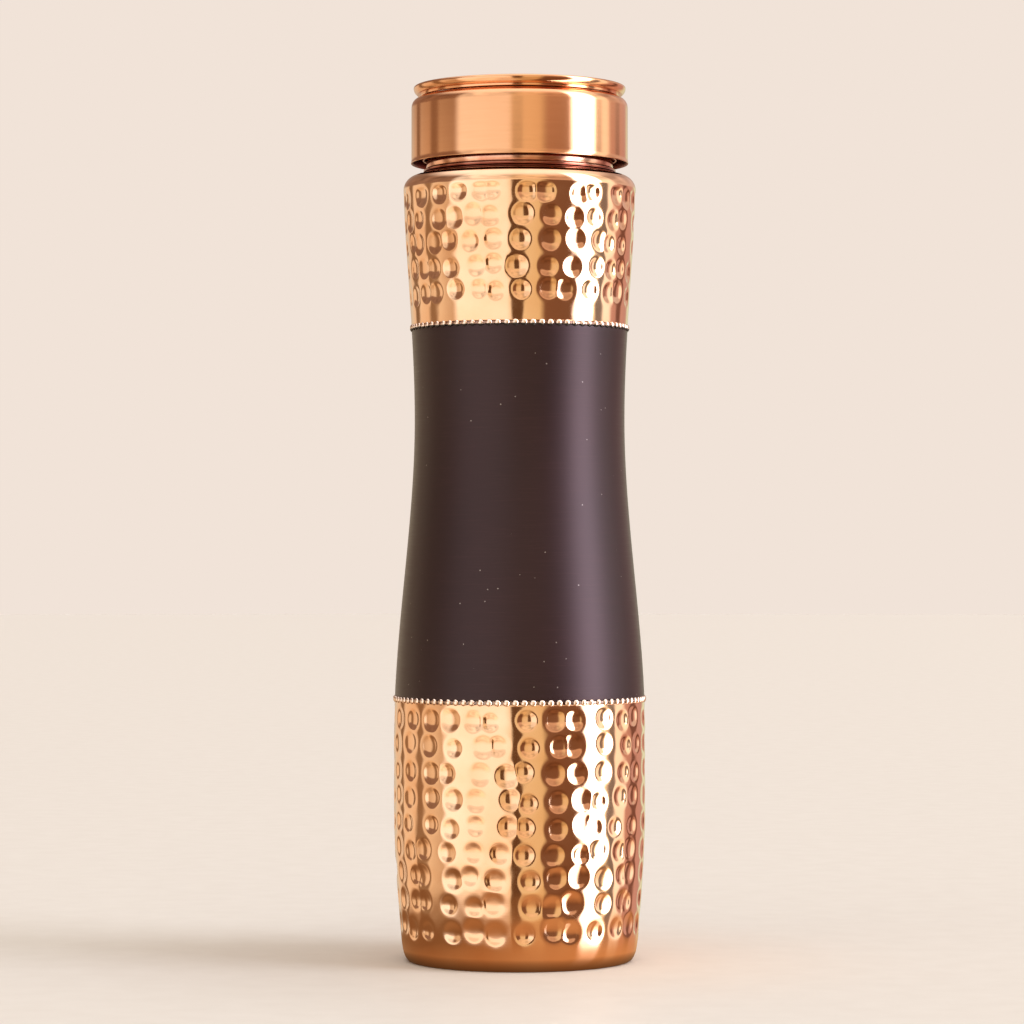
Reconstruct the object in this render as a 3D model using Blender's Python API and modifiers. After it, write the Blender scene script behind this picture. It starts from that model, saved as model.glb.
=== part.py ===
"""Copper water bottle with a screw cap, modelled piece by piece.

The body is a stack of three sheet shells, lapped at two beaded seams, with a disc brazed into
the foot and a threaded neck standing in a collar on the shoulder. The cap is a skirt and a
rolled top disc over a threaded cup, and a silicone ring seals the cup against the mouth.

Metres, +Z up. The origin is the centre of the foot, where the bottle meets the table.
"""
import math

import bmesh
import bpy

MM = 0.001

# Sheet, fits and resolution
WALL = 0.5 * MM  # copper sheet of every shell
GAP = 0.3 * MM  # solder or fitting gap between two pieces
TURN_STEPS = 40  # facets around every turned piece

# Foot and lower shell, up to the lower beaded seam
BELLY_RADIUS = 39.6 * MM
LOWER_SEAM_Z = 82.3 * MM  # table to the middle of the lower bead ring
LOWER_SEAM_INSET = 0.3 * MM  # how much narrower than the belly the seam is
LOWER_SEAM_LEAN = -0.04  # lean of the wall, radius per height
BELLY_DROP = 14.3 * MM  # the straight belly ends this far below the seam
FOOT_INSET = 5.4 * MM  # belly's radius less the radius where the foot leaves the table
FOOT_TOP_INSET = 2.25 * MM  # the same where the foot's corner has become wall
FOOT_HEIGHT = 8.0 * MM  # height of the foot's corner
FOOT_SWELL = 38.0 * MM  # the wall widens to the belly over this height
FOOT_LEAN = 0.08
FOOT_LEDGE = 7.0 * MM  # width of the flat ring that the bottle stands on

# Lacquered waist, between the seams
WAIST_RADIUS = 33.05 * MM
WAIST_RISE = 87.5 * MM  # lower seam to the narrowest place
WAIST_HEIGHT = 116.5 * MM  # lower seam to upper seam
UPPER_SEAM_FLARE = 1.0 * MM  # the upper seam is wider than the waist by this much
UPPER_SEAM_LEAN = 0.06

# Upper shell, up to the flat of the shoulder
UPPER_HEIGHT = 48.0 * MM  # upper seam to the flat of the shoulder
SHOULDER_FLAT = 3.8 * MM  # neck to where the rounded corner starts
SHOULDER_CORNER = 4.6 * MM  # radius of that corner
SHOULDER_LEAN = 0.02

# Seams: the lower piece of each pair carries a spigot that goes up inside the next one
SPIGOT_LENGTH = 5.0 * MM  # above the middle of the seam
BEAD_WIDTH = 2.4 * MM  # height of the bead ring, which is one bead wide
BEAD_STAND = 0.55 * MM  # how far the beads stand out of the wall

# Base disc inside the foot
DISC_INSET = 1.0 * MM  # its edge lies this far inside the foot's radius
DISC_FLAT = 9.0 * MM  # width of its flat outer ring
DISC_BEND = 4.0 * MM  # width of the slope up to its middle
DISC_DISH = 1.5 * MM  # height of that slope

# Neck, its lip and its collar
NECK_RADIUS = 28.2 * MM  # outside of the tube, under the thread
NECK_FLANGE = 2.8 * MM  # turned out under the shoulder
LIP_CORE = 0.3 * MM  # radius of the hollow inside the lip's curl
LIP_LAND = 2.55 * MM  # thread's last middle to the top of the lip
COLLAR_WALL = 0.9 * MM
COLLAR_HEIGHT = 3.9 * MM
COLLAR_FOOT = 1.6 * MM  # the collar's foot spreads past its band by this much
COLLAR_SHELF = 0.9 * MM  # the same at the top of the foot
COLLAR_FOOT_HEIGHT = 1.5 * MM
COLLAR_GROOVE = 0.35 * MM

# Thread, right-handed, rolled with the same pitch into the neck and the cap
PITCH = 5.0 * MM
THREAD_DEPTH = 1.4 * MM
THREAD_PLAY = 0.5 * MM  # crest to root
THREAD_ROOT = 2.7 * MM  # width of the ridge where it leaves the wall
THREAD_CREST = 1.5 * MM  # width of its crest
NECK_THREAD_START = 7.4 * MM  # flat of the shoulder to the middle of the thread's first end
NECK_THREAD_TURNS = 2.25
CAP_THREAD_TURNS = 1.75
THREAD_FADE = 5  # steps over which a ridge runs out into its wall

# Cap
CAP_LIFT = 3.9 * MM  # gap that shows between the shoulder and the skirt's lip
SKIRT_SPACE = 3.0 * MM  # open space between the cup and the skirt
SKIRT_BEND_WIDTH = 2.9 * MM  # rounded top of the skirt
SKIRT_BEND_HEIGHT = 3.4 * MM
SKIRT_BEND_PULL = 0.5 * MM  # the bend is pulled to a corner this far below the ledge
SKIRT_LEDGE = 4.7 * MM  # width of the turned-in ledge
LIP_FLARE = 0.25 * MM
LIP_FLARE_HEIGHT = 1.5 * MM
TOP_INSET = 0.7 * MM  # the top disc is narrower than the skirt by this much
TOP_HEIGHT = 3.3 * MM  # foot of its spigot to the top of its roll
TOP_SPIGOT = 0.7 * MM  # height of the spigot, which leaves a groove above the skirt
TOP_RIM_LEAN = 0.8 * MM  # the rim is narrower at its foot by this much
TOP_ROLL = 2.4 * MM  # width of the rolled edge seen from above
TOP_DISH = 0.6 * MM  # the middle lies this much below the roll

# Silicone seal between the mouth's lip and the cup
SEAL_THICKNESS = 1.5 * MM
SEAL_WIDTH = 4.0 * MM
SEAL_SIDE_GAP = 0.3 * MM  # to the cup's wall

# Sizes that follow from the ones above
SPIGOT_STEP = WALL + GAP
SEAT_HALF = BEAD_WIDTH / 2 + GAP
FOOT_RADIUS = BELLY_RADIUS - FOOT_INSET
SHOULDER_RADIUS = NECK_RADIUS + SHOULDER_FLAT + SHOULDER_CORNER
CUP_INNER_RADIUS = NECK_RADIUS + THREAD_DEPTH + THREAD_PLAY
SKIRT_RADIUS = CUP_INNER_RADIUS + WALL + SKIRT_SPACE + WALL
LEDGE_RADIUS = SKIRT_RADIUS - SKIRT_BEND_WIDTH
TOP_RADIUS = SKIRT_RADIUS - TOP_INSET
UPPER_SEAM_Z = LOWER_SEAM_Z + WAIST_HEIGHT
SHOULDER_Z = UPPER_SEAM_Z + UPPER_HEIGHT
NECK_THREAD_Z = SHOULDER_Z + NECK_THREAD_START
LIP_Z = NECK_THREAD_Z + NECK_THREAD_TURNS * PITCH + LIP_LAND
CAP_Z = SHOULDER_Z + CAP_LIFT
CUP_TOP_Z = LIP_Z + GAP + SEAL_THICKNESS + GAP + WALL
LEDGE_Z = CUP_TOP_Z + GAP + WALL


def bend(start, corner, end, steps):
    """Points of a quadratic curve from start to end that is pulled towards corner."""
    points = []
    for i in range(steps + 1):
        t = i / steps
        near, middle, far = (1 - t) ** 2, 2 * t * (1 - t), t * t
        points.append(tuple(near * a + middle * b + far * c for a, b, c in zip(start, corner, end)))
    return points


def wall_stations():
    """Height, radius and lean of the body's outside, bottom to top."""
    return [
        (FOOT_HEIGHT, BELLY_RADIUS - FOOT_TOP_INSET, FOOT_LEAN),
        (FOOT_HEIGHT + FOOT_SWELL, BELLY_RADIUS, 0.0),
        (LOWER_SEAM_Z - BELLY_DROP, BELLY_RADIUS, 0.0),
        (LOWER_SEAM_Z, BELLY_RADIUS - LOWER_SEAM_INSET, LOWER_SEAM_LEAN),
        (LOWER_SEAM_Z + WAIST_RISE, WAIST_RADIUS, 0.0),
        (UPPER_SEAM_Z, WAIST_RADIUS + UPPER_SEAM_FLARE, UPPER_SEAM_LEAN),
        (SHOULDER_Z - SHOULDER_CORNER, SHOULDER_RADIUS, SHOULDER_LEAN),
    ]


def wall_radius(z):
    """Radius of the body's outside at a height: a smooth curve through the stations."""
    stations = wall_stations()
    for (z0, r0, lean0), (z1, r1, lean1) in zip(stations, stations[1:]):
        if z <= z1:
            break
    span = z1 - z0
    t = min(max((z - z0) / span, 0.0), 1.0)
    rise = t * t * (3 - 2 * t)
    bow0 = t * (1 - t) ** 2
    bow1 = t * t * (t - 1)
    return r0 + (r1 - r0) * rise + span * (lean0 * bow0 + lean1 * bow1)


def wall_line(top, bottom, rows, inset=0.0):
    """Points down the body's outside, set in by inset."""
    heights = [top + (bottom - top) * i / rows for i in range(rows + 1)]
    return [(wall_radius(z) - inset, z) for z in heights]


def material(name, colour, metallic, roughness):
    """A Principled material with one colour."""
    made = bpy.data.materials.new(name)
    made.use_nodes = True
    shader = made.node_tree.nodes["Principled BSDF"]
    shader.inputs["Base Color"].default_value = (*colour, 1.0)
    shader.inputs["Metallic"].default_value = metallic
    shader.inputs["Roughness"].default_value = roughness
    return made


def add_object(name, mesh, finish, home):
    """Put a mesh in the scene as a named object with its material."""
    made = bpy.data.objects.new(name, mesh)
    home.objects.link(made)
    if finish:
        mesh.materials.append(finish)
    return made


def turned(name, outline, finish, home, wall=0.0):
    """Turn an outline, given as (radius, height) points down its outer side, about +Z.

    With a wall, the outline is the outer face of a sheet. Without one it is a closed section.
    """
    count = len(outline)
    edges = [(i, i + 1) for i in range(count - 1)]
    if not wall:
        edges.append((count - 1, 0))
    mesh = bpy.data.meshes.new(name)
    mesh.from_pydata([(r, 0.0, z) for r, z in outline], edges, [])
    made = add_object(name, mesh, finish, home)
    screw = made.modifiers.new("Turn", "SCREW")
    screw.steps = TURN_STEPS
    screw.render_steps = TURN_STEPS
    screw.use_merge_vertices = True
    screw.merge_threshold = 0.00001
    if wall:
        sheet = made.modifiers.new("Sheet", "SOLIDIFY")
        sheet.thickness = wall
        sheet.offset = -1.0
        sheet.use_even_offset = True
    return made


def thread_ridge(name, tube_radius, outward, first_z, turns, home):
    """A right-hand ridge on a round wall, fading into it at both ends.

    outward is 1 for a ridge on the outside of a tube and -1 for one on the inside.
    """
    steps = round(turns * TURN_STEPS)
    root = tube_radius - outward * WALL / 2
    bm = bmesh.new()
    rings = []
    for i in range(steps + 1):
        fade = min(1.0, (i + 0.5) / THREAD_FADE, (steps - i + 0.5) / THREAD_FADE)
        angle = 2 * math.pi * (i + 0.5) / TURN_STEPS
        z = first_z + PITCH * i / TURN_STEPS
        crest = tube_radius + outward * THREAD_DEPTH * fade
        section = [
            (root, z - THREAD_ROOT / 2),
            (crest, z - THREAD_CREST / 2),
            (crest, z + THREAD_CREST / 2),
            (root, z + THREAD_ROOT / 2),
        ]
        rings.append([bm.verts.new((r * math.cos(angle), r * math.sin(angle), h)) for r, h in section])
    for near, far in zip(rings, rings[1:]):
        for j in range(4):
            k = (j + 1) % 4
            bm.faces.new((near[j], near[k], far[k], far[j]))
    bm.faces.new(rings[0])
    bm.faces.new(reversed(rings[-1]))
    bmesh.ops.recalc_face_normals(bm, faces=bm.faces)
    mesh = bpy.data.meshes.new(name)
    bm.to_mesh(mesh)
    bm.free()
    ridge = add_object(name, mesh, None, home)
    ridge.hide_render = True
    ridge.display_type = "WIRE"
    return ridge


def join_ridge(tube, ridge):
    """Make the ridge one body with its tube."""
    union = tube.modifiers.new("Thread", "BOOLEAN")
    union.operation = "UNION"
    union.solver = "EXACT"
    union.object = ridge


def lower_shell(finish, home):
    """Hammered shell: spigot of the lower seam, wall, rounded foot and standing ring."""
    edge = LOWER_SEAM_Z - SEAT_HALF
    foot_top = wall_radius(FOOT_HEIGHT)
    pull = (foot_top - FOOT_HEIGHT * FOOT_LEAN, 0.0)
    outline = wall_line(LOWER_SEAM_Z + SPIGOT_LENGTH, edge, 1, SPIGOT_STEP)
    outline += wall_line(edge, FOOT_HEIGHT, 5)[:-1]
    outline += bend((foot_top, FOOT_HEIGHT), pull, (FOOT_RADIUS, 0.0), 4)
    outline.append((FOOT_RADIUS - FOOT_LEDGE, 0.0))
    return turned("lower_shell", outline, finish, home, WALL)


def base_disc(finish, home):
    """Pressed disc brazed into the foot, lying on the standing ring's upper face."""
    edge = FOOT_RADIUS - DISC_INSET
    flat_z = WALL + GAP + WALL
    outline = [
        (0.0, flat_z + DISC_DISH),
        (edge - DISC_FLAT - DISC_BEND, flat_z + DISC_DISH),
        (edge - DISC_FLAT, flat_z),
        (edge, flat_z),
    ]
    return turned("base_disc", outline, finish, home, WALL)


def bead_ring(name, seam_z, finish, home):
    """Beaded wire soldered into the seat that a seam leaves between two shells."""
    inner = wall_radius(seam_z) - SPIGOT_STEP + GAP
    outer = wall_radius(seam_z) + BEAD_STAND
    half = BEAD_WIDTH / 2
    crown = bend((inner + GAP, seam_z + half), (outer, seam_z + half), (outer, seam_z), 2)
    mirrored = [(r, 2 * seam_z - z) for r, z in reversed(crown[:-1])]
    outline = [(inner, seam_z + half)] + crown + mirrored + [(inner, seam_z - half)]
    return turned(name, outline, finish, home)


def waist_shell(finish, home):
    """Lacquered waist: spigot of the upper seam and the drawn-in wall."""
    edge = UPPER_SEAM_Z - SEAT_HALF
    outline = wall_line(UPPER_SEAM_Z + SPIGOT_LENGTH, edge, 1, SPIGOT_STEP)
    outline += wall_line(edge, LOWER_SEAM_Z + SEAT_HALF, 7)
    return turned("waist_shell", outline, finish, home, WALL)


def upper_shell(finish, home):
    """Hammered upper shell, turned in over a rounded shoulder to the neck's hole."""
    corner_z = SHOULDER_Z - SHOULDER_CORNER
    centre = SHOULDER_RADIUS - SHOULDER_CORNER
    corner_steps = 3
    outline = [(NECK_RADIUS + GAP, SHOULDER_Z)]
    for i in range(corner_steps + 1):
        turn = math.pi / 2 * i / corner_steps
        across = centre + SHOULDER_CORNER * math.sin(turn)
        outline.append((across, corner_z + SHOULDER_CORNER * math.cos(turn)))
    outline += wall_line(corner_z, UPPER_SEAM_Z + SEAT_HALF, 3)[1:]
    return turned("upper_shell", outline, finish, home, WALL)


def neck_collar(finish, home):
    """Collar around the neck: a flared foot on the shoulder, a groove and a plain band."""
    inner = NECK_RADIUS + GAP
    band = inner + COLLAR_WALL
    foot = band + COLLAR_FOOT
    foot_z = SHOULDER_Z + GAP
    edge_z = foot_z + GAP
    flare = (band + COLLAR_SHELF, foot_z + COLLAR_FOOT_HEIGHT)
    groove_z = flare[1] + COLLAR_GROOVE
    top_z = foot_z + COLLAR_HEIGHT
    outline = [(inner, top_z), (band, top_z), (band, groove_z + COLLAR_GROOVE)]
    outline.append((band - COLLAR_GROOVE, groove_z))
    outline += bend(flare, (flare[0], edge_z), (foot, edge_z), 3)
    outline += [(foot, foot_z), (inner, foot_z)]
    return turned("neck_collar", outline, finish, home)


def threaded_neck(finish, home, guides):
    """Neck tube with a curled lip, a rolled thread and a flange under the shoulder."""
    flange_z = SHOULDER_Z - WALL - GAP
    curl = WALL + LIP_CORE
    crown = (NECK_RADIUS - curl, LIP_Z)
    mouth = NECK_RADIUS - 2 * curl
    outline = bend((mouth, LIP_Z - curl), (mouth, LIP_Z), crown, 2)
    outline += bend(crown, (NECK_RADIUS, LIP_Z), (NECK_RADIUS, LIP_Z - curl), 2)[1:]
    outline += [(NECK_RADIUS, flange_z), (NECK_RADIUS + NECK_FLANGE, flange_z)]
    neck = turned("threaded_neck", outline, finish, home, WALL)
    ridge = thread_ridge("neck_ridge", NECK_RADIUS, 1, NECK_THREAD_Z, NECK_THREAD_TURNS, guides)
    join_ridge(neck, ridge)
    return neck


def seal_ring(finish, home):
    """Flat silicone ring between the mouth's lip and the cup's top."""
    outer = CUP_INNER_RADIUS - SEAL_SIDE_GAP
    inner = outer - SEAL_WIDTH
    low = LIP_Z + GAP
    high = low + SEAL_THICKNESS
    return turned("seal_ring", [(inner, high), (outer, high), (outer, low), (inner, low)], finish, home)


def cap_thread_cup(finish, home, guides):
    """Cup inside the cap: a flat top over the seal and a wall with the rolled thread."""
    outer = CUP_INNER_RADIUS + WALL
    outline = [(0.0, CUP_TOP_Z)]
    outline += bend((CUP_INNER_RADIUS, CUP_TOP_Z), (outer, CUP_TOP_Z), (outer, CUP_TOP_Z - WALL), 2)
    outline.append((outer, CAP_Z + GAP + WALL))
    cup = turned("cap_thread_cup", outline, finish, home, WALL)
    first_z = NECK_THREAD_Z + PITCH / 2
    ridge = thread_ridge("cap_ridge", CUP_INNER_RADIUS, -1, first_z, CAP_THREAD_TURNS, guides)
    join_ridge(cup, ridge)
    return cup


def cap_skirt(finish, home):
    """Outer shell of the cap: turned-in ledge, rounded top, straight skirt and flared lip."""
    bend_z = LEDGE_Z - SKIRT_BEND_HEIGHT
    pull = (SKIRT_RADIUS, LEDGE_Z - SKIRT_BEND_PULL)
    outline = [(LEDGE_RADIUS - SKIRT_LEDGE, LEDGE_Z)]
    outline += bend((LEDGE_RADIUS, LEDGE_Z), pull, (SKIRT_RADIUS, bend_z), 4)
    outline += [(SKIRT_RADIUS, CAP_Z + LIP_FLARE_HEIGHT), (SKIRT_RADIUS + LIP_FLARE, CAP_Z)]
    return turned("cap_skirt", outline, finish, home, WALL)


def cap_top_disc(finish, home):
    """Top disc with a rolled rim, standing on the skirt's ledge on a short spigot."""
    foot_z = LEDGE_Z + GAP
    under_z = foot_z + TOP_SPIGOT
    top_z = foot_z + TOP_HEIGHT
    dish_z = top_z - TOP_DISH
    roll = TOP_RADIUS - TOP_ROLL
    outline = [(0.0, dish_z), (roll - TOP_DISH, dish_z), (roll, top_z)]
    outline += bend((TOP_RADIUS - TOP_DISH, top_z), (TOP_RADIUS, top_z), (TOP_RADIUS, dish_z), 2)
    outline += [(TOP_RADIUS - TOP_RIM_LEAN, under_z), (LEDGE_RADIUS, under_z)]
    outline.append((LEDGE_RADIUS, foot_z))
    return turned("cap_top_disc", outline, finish, home, WALL)


def turning_pivot(pieces, home):
    """Parent the cap's pieces to an empty on the axis that they turn about and rise along."""
    pivot = bpy.data.objects.new("cap_pivot", None)
    pivot.location = (0.0, 0.0, CAP_Z)
    home.objects.link(pivot)
    for piece in pieces:
        piece.parent = pivot
        piece.matrix_parent_inverse.translation = (0.0, 0.0, -CAP_Z)


for old in list(bpy.data.objects):
    bpy.data.objects.remove(old, do_unlink=True)

parts = bpy.data.collections.new("copper_water_bottle")
guides = bpy.data.collections.new("cutters")
bpy.context.scene.collection.children.link(parts)
bpy.context.scene.collection.children.link(guides)

hammered_copper = material("hammered_copper", (0.87, 0.42, 0.24), 1.0, 0.12)
satin_copper = material("satin_copper", (0.86, 0.44, 0.27), 1.0, 0.3)
inner_copper = material("inner_copper", (0.72, 0.32, 0.2), 1.0, 0.35)
dark_lacquer = material("dark_lacquer", (0.03, 0.018, 0.018), 0.2, 0.38)
bead_copper = material("bead_copper", (0.83, 0.5, 0.36), 1.0, 0.2)
silicone = material("silicone", (0.8, 0.8, 0.78), 0.0, 0.5)

base_disc(satin_copper, parts)
lower_shell(hammered_copper, parts)
bead_ring("lower_bead_ring", LOWER_SEAM_Z, bead_copper, parts)
waist_shell(dark_lacquer, parts)
bead_ring("upper_bead_ring", UPPER_SEAM_Z, bead_copper, parts)
upper_shell(hammered_copper, parts)
threaded_neck(inner_copper, parts, guides)
neck_collar(inner_copper, parts)
turning_pivot(
    [
        seal_ring(silicone, parts),
        cap_thread_cup(inner_copper, parts, guides),
        cap_skirt(satin_copper, parts),
        cap_top_disc(satin_copper, parts),
    ],
    parts,
)
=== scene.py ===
import math

import bmesh
import bpy
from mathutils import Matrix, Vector


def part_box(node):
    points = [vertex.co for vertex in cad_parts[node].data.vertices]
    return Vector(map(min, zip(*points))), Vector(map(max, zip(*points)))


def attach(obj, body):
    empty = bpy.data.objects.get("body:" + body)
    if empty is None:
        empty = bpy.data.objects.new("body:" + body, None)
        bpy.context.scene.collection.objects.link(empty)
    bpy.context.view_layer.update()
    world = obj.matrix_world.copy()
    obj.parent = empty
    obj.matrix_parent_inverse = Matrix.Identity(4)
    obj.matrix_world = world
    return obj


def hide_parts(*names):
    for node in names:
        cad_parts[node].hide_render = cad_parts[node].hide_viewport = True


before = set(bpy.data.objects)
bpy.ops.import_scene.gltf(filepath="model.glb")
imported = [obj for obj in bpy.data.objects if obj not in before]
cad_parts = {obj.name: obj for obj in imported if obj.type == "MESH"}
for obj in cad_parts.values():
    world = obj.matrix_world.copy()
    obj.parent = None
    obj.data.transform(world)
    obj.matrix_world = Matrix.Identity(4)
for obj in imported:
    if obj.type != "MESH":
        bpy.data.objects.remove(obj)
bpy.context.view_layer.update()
MM = 0.001


# ---- Base disc ------------------------------------------------------------------------------
# A round of copper sheet pressed with a shallow raised middle and brazed inside the foot.
# It is spun smooth on the lathe, which leaves fine rings, and it is the floor of the bottle.

def linear(hex_colour):
    """Linear colour, with alpha 1, of an sRGB hex value such as '#b87333'."""
    channels = [int(hex_colour[i:i + 2], 16) / 255 for i in (1, 3, 5)]
    bright = [c / 12.92 if c <= 0.04045 else ((c + 0.055) / 1.055) ** 2.4 for c in channels]
    return (*bright, 1.0)


def add_node(tree, kind, inputs=None, **settings):
    """Add a node, set its properties, and set or link its inputs by name or number."""
    node = tree.nodes.new(kind)
    for name, value in settings.items():
        setattr(node, name, value)
    for socket, value in (inputs or {}).items():
        if isinstance(value, bpy.types.NodeSocket):
            tree.links.new(value, node.inputs[socket])
        else:
            node.inputs[socket].default_value = value
    return node


def new_finish(name):
    """An empty material and its node tree."""
    finish = bpy.data.materials.new(name)
    finish.use_nodes = True
    finish.node_tree.nodes.clear()
    return finish, finish.node_tree


def bend(start, corner, end, steps):
    """Points of a quadratic curve from start to end that is pulled towards corner."""
    points = []
    for i in range(steps + 1):
        t = i / steps
        near, middle, far = (1 - t) ** 2, 2 * t * (1 - t), t * t
        points.append(tuple(near * a + middle * b + far * c for a, b, c in zip(start, corner, end)))
    return points


def inner_line(line, wall):
    """The other face of a sheet whose outer face is line, with mitred corners."""
    points = [Vector(p) for p in line]
    along = [(b - a).normalized() for a, b in zip(points, points[1:])]
    inward = [Vector((d.y, -d.x)) for d in along]
    face = []
    for i, point in enumerate(points):
        near = inward[max(i - 1, 0)]
        far = inward[min(i, len(inward) - 1)]
        mitre = (near + far).normalized()
        face.append(point + mitre * (wall / mitre.dot(near)))
    return face


def rim(a, b, out, steps=6):
    """Half round from a to b that bulges towards out: the smoothed edge of a cut sheet."""
    middle = (a + b) / 2
    arm = a - middle
    bulge = out * arm.length
    turns = [math.pi * i / steps for i in range(1, steps)]
    return [middle + arm * math.cos(t) + bulge * math.sin(t) for t in turns]


def sheet_section(outer, core, wall):
    """Closed section of a sheet: a fine outer line, a plainer inner one, and round edges."""
    outer = [Vector(p) for p in outer]
    inner = inner_line(core, wall)
    start = (outer[0] - outer[1]).normalized()
    end = (outer[-1] - outer[-2]).normalized()
    section = []
    if outer[0].x > 0:
        outer[0] = outer[0] - start * (wall / 2)
        inner[0] = inner[0] - start * (wall / 2)
        section += rim(inner[0], outer[0], start)
    section += outer
    if outer[-1].x > 0:
        section[-1] = outer[-1] - end * (wall / 2)
        inner[-1] = inner[-1] - end * (wall / 2)
        section += rim(section[-1], inner[-1], end)
    return section + inner[::-1]


def turned(name, section, steps, crease=50):
    """Turn a closed section of (radius, height) points about +Z into a new object."""
    bm = bmesh.new()
    rings = []
    for radius, height in section:
        count = steps if radius > 1e-6 else 1
        turns = [2 * math.pi * i / steps for i in range(count)]
        rings.append([bm.verts.new((radius * math.cos(t), radius * math.sin(t), height)) for t in turns])
    for near, far in zip(rings, rings[1:] + rings[:1]):
        for i in range(steps):
            after = i + 1
            corners = [near[i % len(near)], near[after % len(near)], far[after % len(far)], far[i % len(far)]]
            corners = list(dict.fromkeys(corners))
            if len(corners) > 2:
                bm.faces.new(corners)
    bmesh.ops.recalc_face_normals(bm, faces=bm.faces)
    mesh = bpy.data.meshes.new(name)
    bm.to_mesh(mesh)
    bm.free()
    mesh.shade_smooth()
    mesh.set_sharp_from_angle(angle=math.radians(crease))
    piece = bpy.data.objects.new(name, mesh)
    bpy.context.scene.collection.objects.link(piece)
    return piece


def lathe_lines(tree, line_width, wander):
    """Noise drawn out around +Z, as a tool leaves it on turned metal: its value socket.

    line_width is the height of a line in metres, and wander is how often it changes on the way round.
    """
    place = add_node(tree, "ShaderNodeTexCoord").outputs["Object"]
    axes = add_node(tree, "ShaderNodeSeparateXYZ", {0: place})
    across = add_node(tree, "ShaderNodeCombineXYZ", {0: axes.outputs[0], 1: axes.outputs[1]})
    radius = add_node(tree, "ShaderNodeVectorMath", {0: across.outputs[0]}, operation="LENGTH")
    heading = add_node(tree, "ShaderNodeVectorMath", {0: across.outputs[0]}, operation="NORMALIZE")
    around = add_node(
        tree, "ShaderNodeVectorMath", {0: heading.outputs[0], "Scale": wander}, operation="SCALE"
    )
    height = add_node(tree, "ShaderNodeMath", {0: axes.outputs[2], 1: 1 / line_width}, operation="MULTIPLY")
    depth = add_node(
        tree, "ShaderNodeMath", {0: radius.outputs["Value"], 1: 1 / line_width}, operation="MULTIPLY"
    )
    rise = add_node(tree, "ShaderNodeCombineXYZ", {2: height.outputs[0]})
    where = add_node(
        tree, "ShaderNodeVectorMath", {0: around.outputs[0], 1: rise.outputs[0]}, operation="ADD"
    )
    lines = add_node(
        tree, "ShaderNodeTexNoise",
        {"Vector": where.outputs[0], "W": depth.outputs[0], "Scale": 1.0, "Detail": 3.0, "Roughness": 0.65},
        noise_dimensions="4D",
    )
    return lines.outputs[0]


WALL = 0.5 * MM
disc_low, disc_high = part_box("base_disc")
disc_flat_z = disc_low.z + WALL
disc_step = (22.3 * MM, disc_flat_z + 0.7 * MM)
disc_line = [(0.0, disc_high.z)]
disc_line += bend((20.0 * MM, disc_high.z), (22.0 * MM, disc_high.z), disc_step, 6)
disc_line += bend(disc_step, (22.6 * MM, disc_flat_z), (24.5 * MM, disc_flat_z), 6)[1:]
disc_line.append((disc_high.x, disc_flat_z))
base_disc = turned("spun_base_disc", sheet_section(disc_line, disc_line, WALL), 160)

# Satin copper: turned on the lathe with a fine abrasive and then lacquered clear. The eye gets warm
# pinkish metal whose highlights are drawn out up and down by lines that run round the piece.
satin_copper, tree = new_finish("turned_satin_copper")
# The real lines are about 0.05 mm wide, too fine to show, so they are drawn 0.35 mm wide.
lines = lathe_lines(tree, 0.35 * MM, 2.5)
broad = lathe_lines(tree, 1.8 * MM, 1.2)
shade = add_node(
    tree, "ShaderNodeMix", {0: lines, 6: linear("#eaad80"), 7: linear("#f4bb92")}, data_type="RGBA"
)
gloss = add_node(tree, "ShaderNodeMapRange", {0: broad, 1: 0.3, 2: 0.7, 3: 0.13, 4: 0.17})
relief = add_node(tree, "ShaderNodeBump", {"Height": lines, "Strength": 0.06, "Distance": 0.02 * MM})
tangent = add_node(tree, "ShaderNodeTangent", direction_type="RADIAL", axis="Z")
surface = add_node(tree, "ShaderNodeBsdfPrincipled", {
    "Base Color": shade.outputs[2], "Metallic": 1.0, "Roughness": gloss.outputs[0],
    "Normal": relief.outputs[0], "Anisotropic": 0.7, "Anisotropic Rotation": 0.25,
    "Tangent": tangent.outputs[0],
})
add_node(tree, "ShaderNodeOutputMaterial", {"Surface": surface.outputs[0]})

base_disc.data.materials.append(satin_copper)
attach(base_disc, "bottle")
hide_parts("base_disc")


# ---- Hammered lower shell -------------------------------------------------------------------
# Copper sheet spun to the belly and the rounded foot, turned in under itself to a standing ring.
# Its wall is beaten from outside with a round-nosed hammer, blow below blow in uneven columns.

SPIGOT_STEP = 0.8 * MM  # each shell steps in by this, to go up inside the next one
SPIGOT_HEIGHT = 5.0 * MM
SEAT_HALF = 0.55 * MM  # the shells stop this far above and below the middle of a seam
BEAD_STAND = 0.55 * MM  # the beads stand out from the wall by this
low_ring, high_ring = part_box("lower_bead_ring"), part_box("upper_bead_ring")
low_seam_z = (low_ring[0].z + low_ring[1].z) / 2
high_seam_z = (high_ring[0].z + high_ring[1].z) / 2
shoulder_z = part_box("upper_shell")[1].z
belly_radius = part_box("lower_shell")[1].x
waist_radius = 33.05 * MM
shoulder_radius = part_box("upper_shell")[1].x
SHOULDER_CORNER = 4.6 * MM
FOOT_HEIGHT = 8.0 * MM
FOOT_TAPER = 0.64 * MM
STANDING_OUTER, STANDING_INNER = 34.2 * MM, 27.2 * MM
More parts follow.
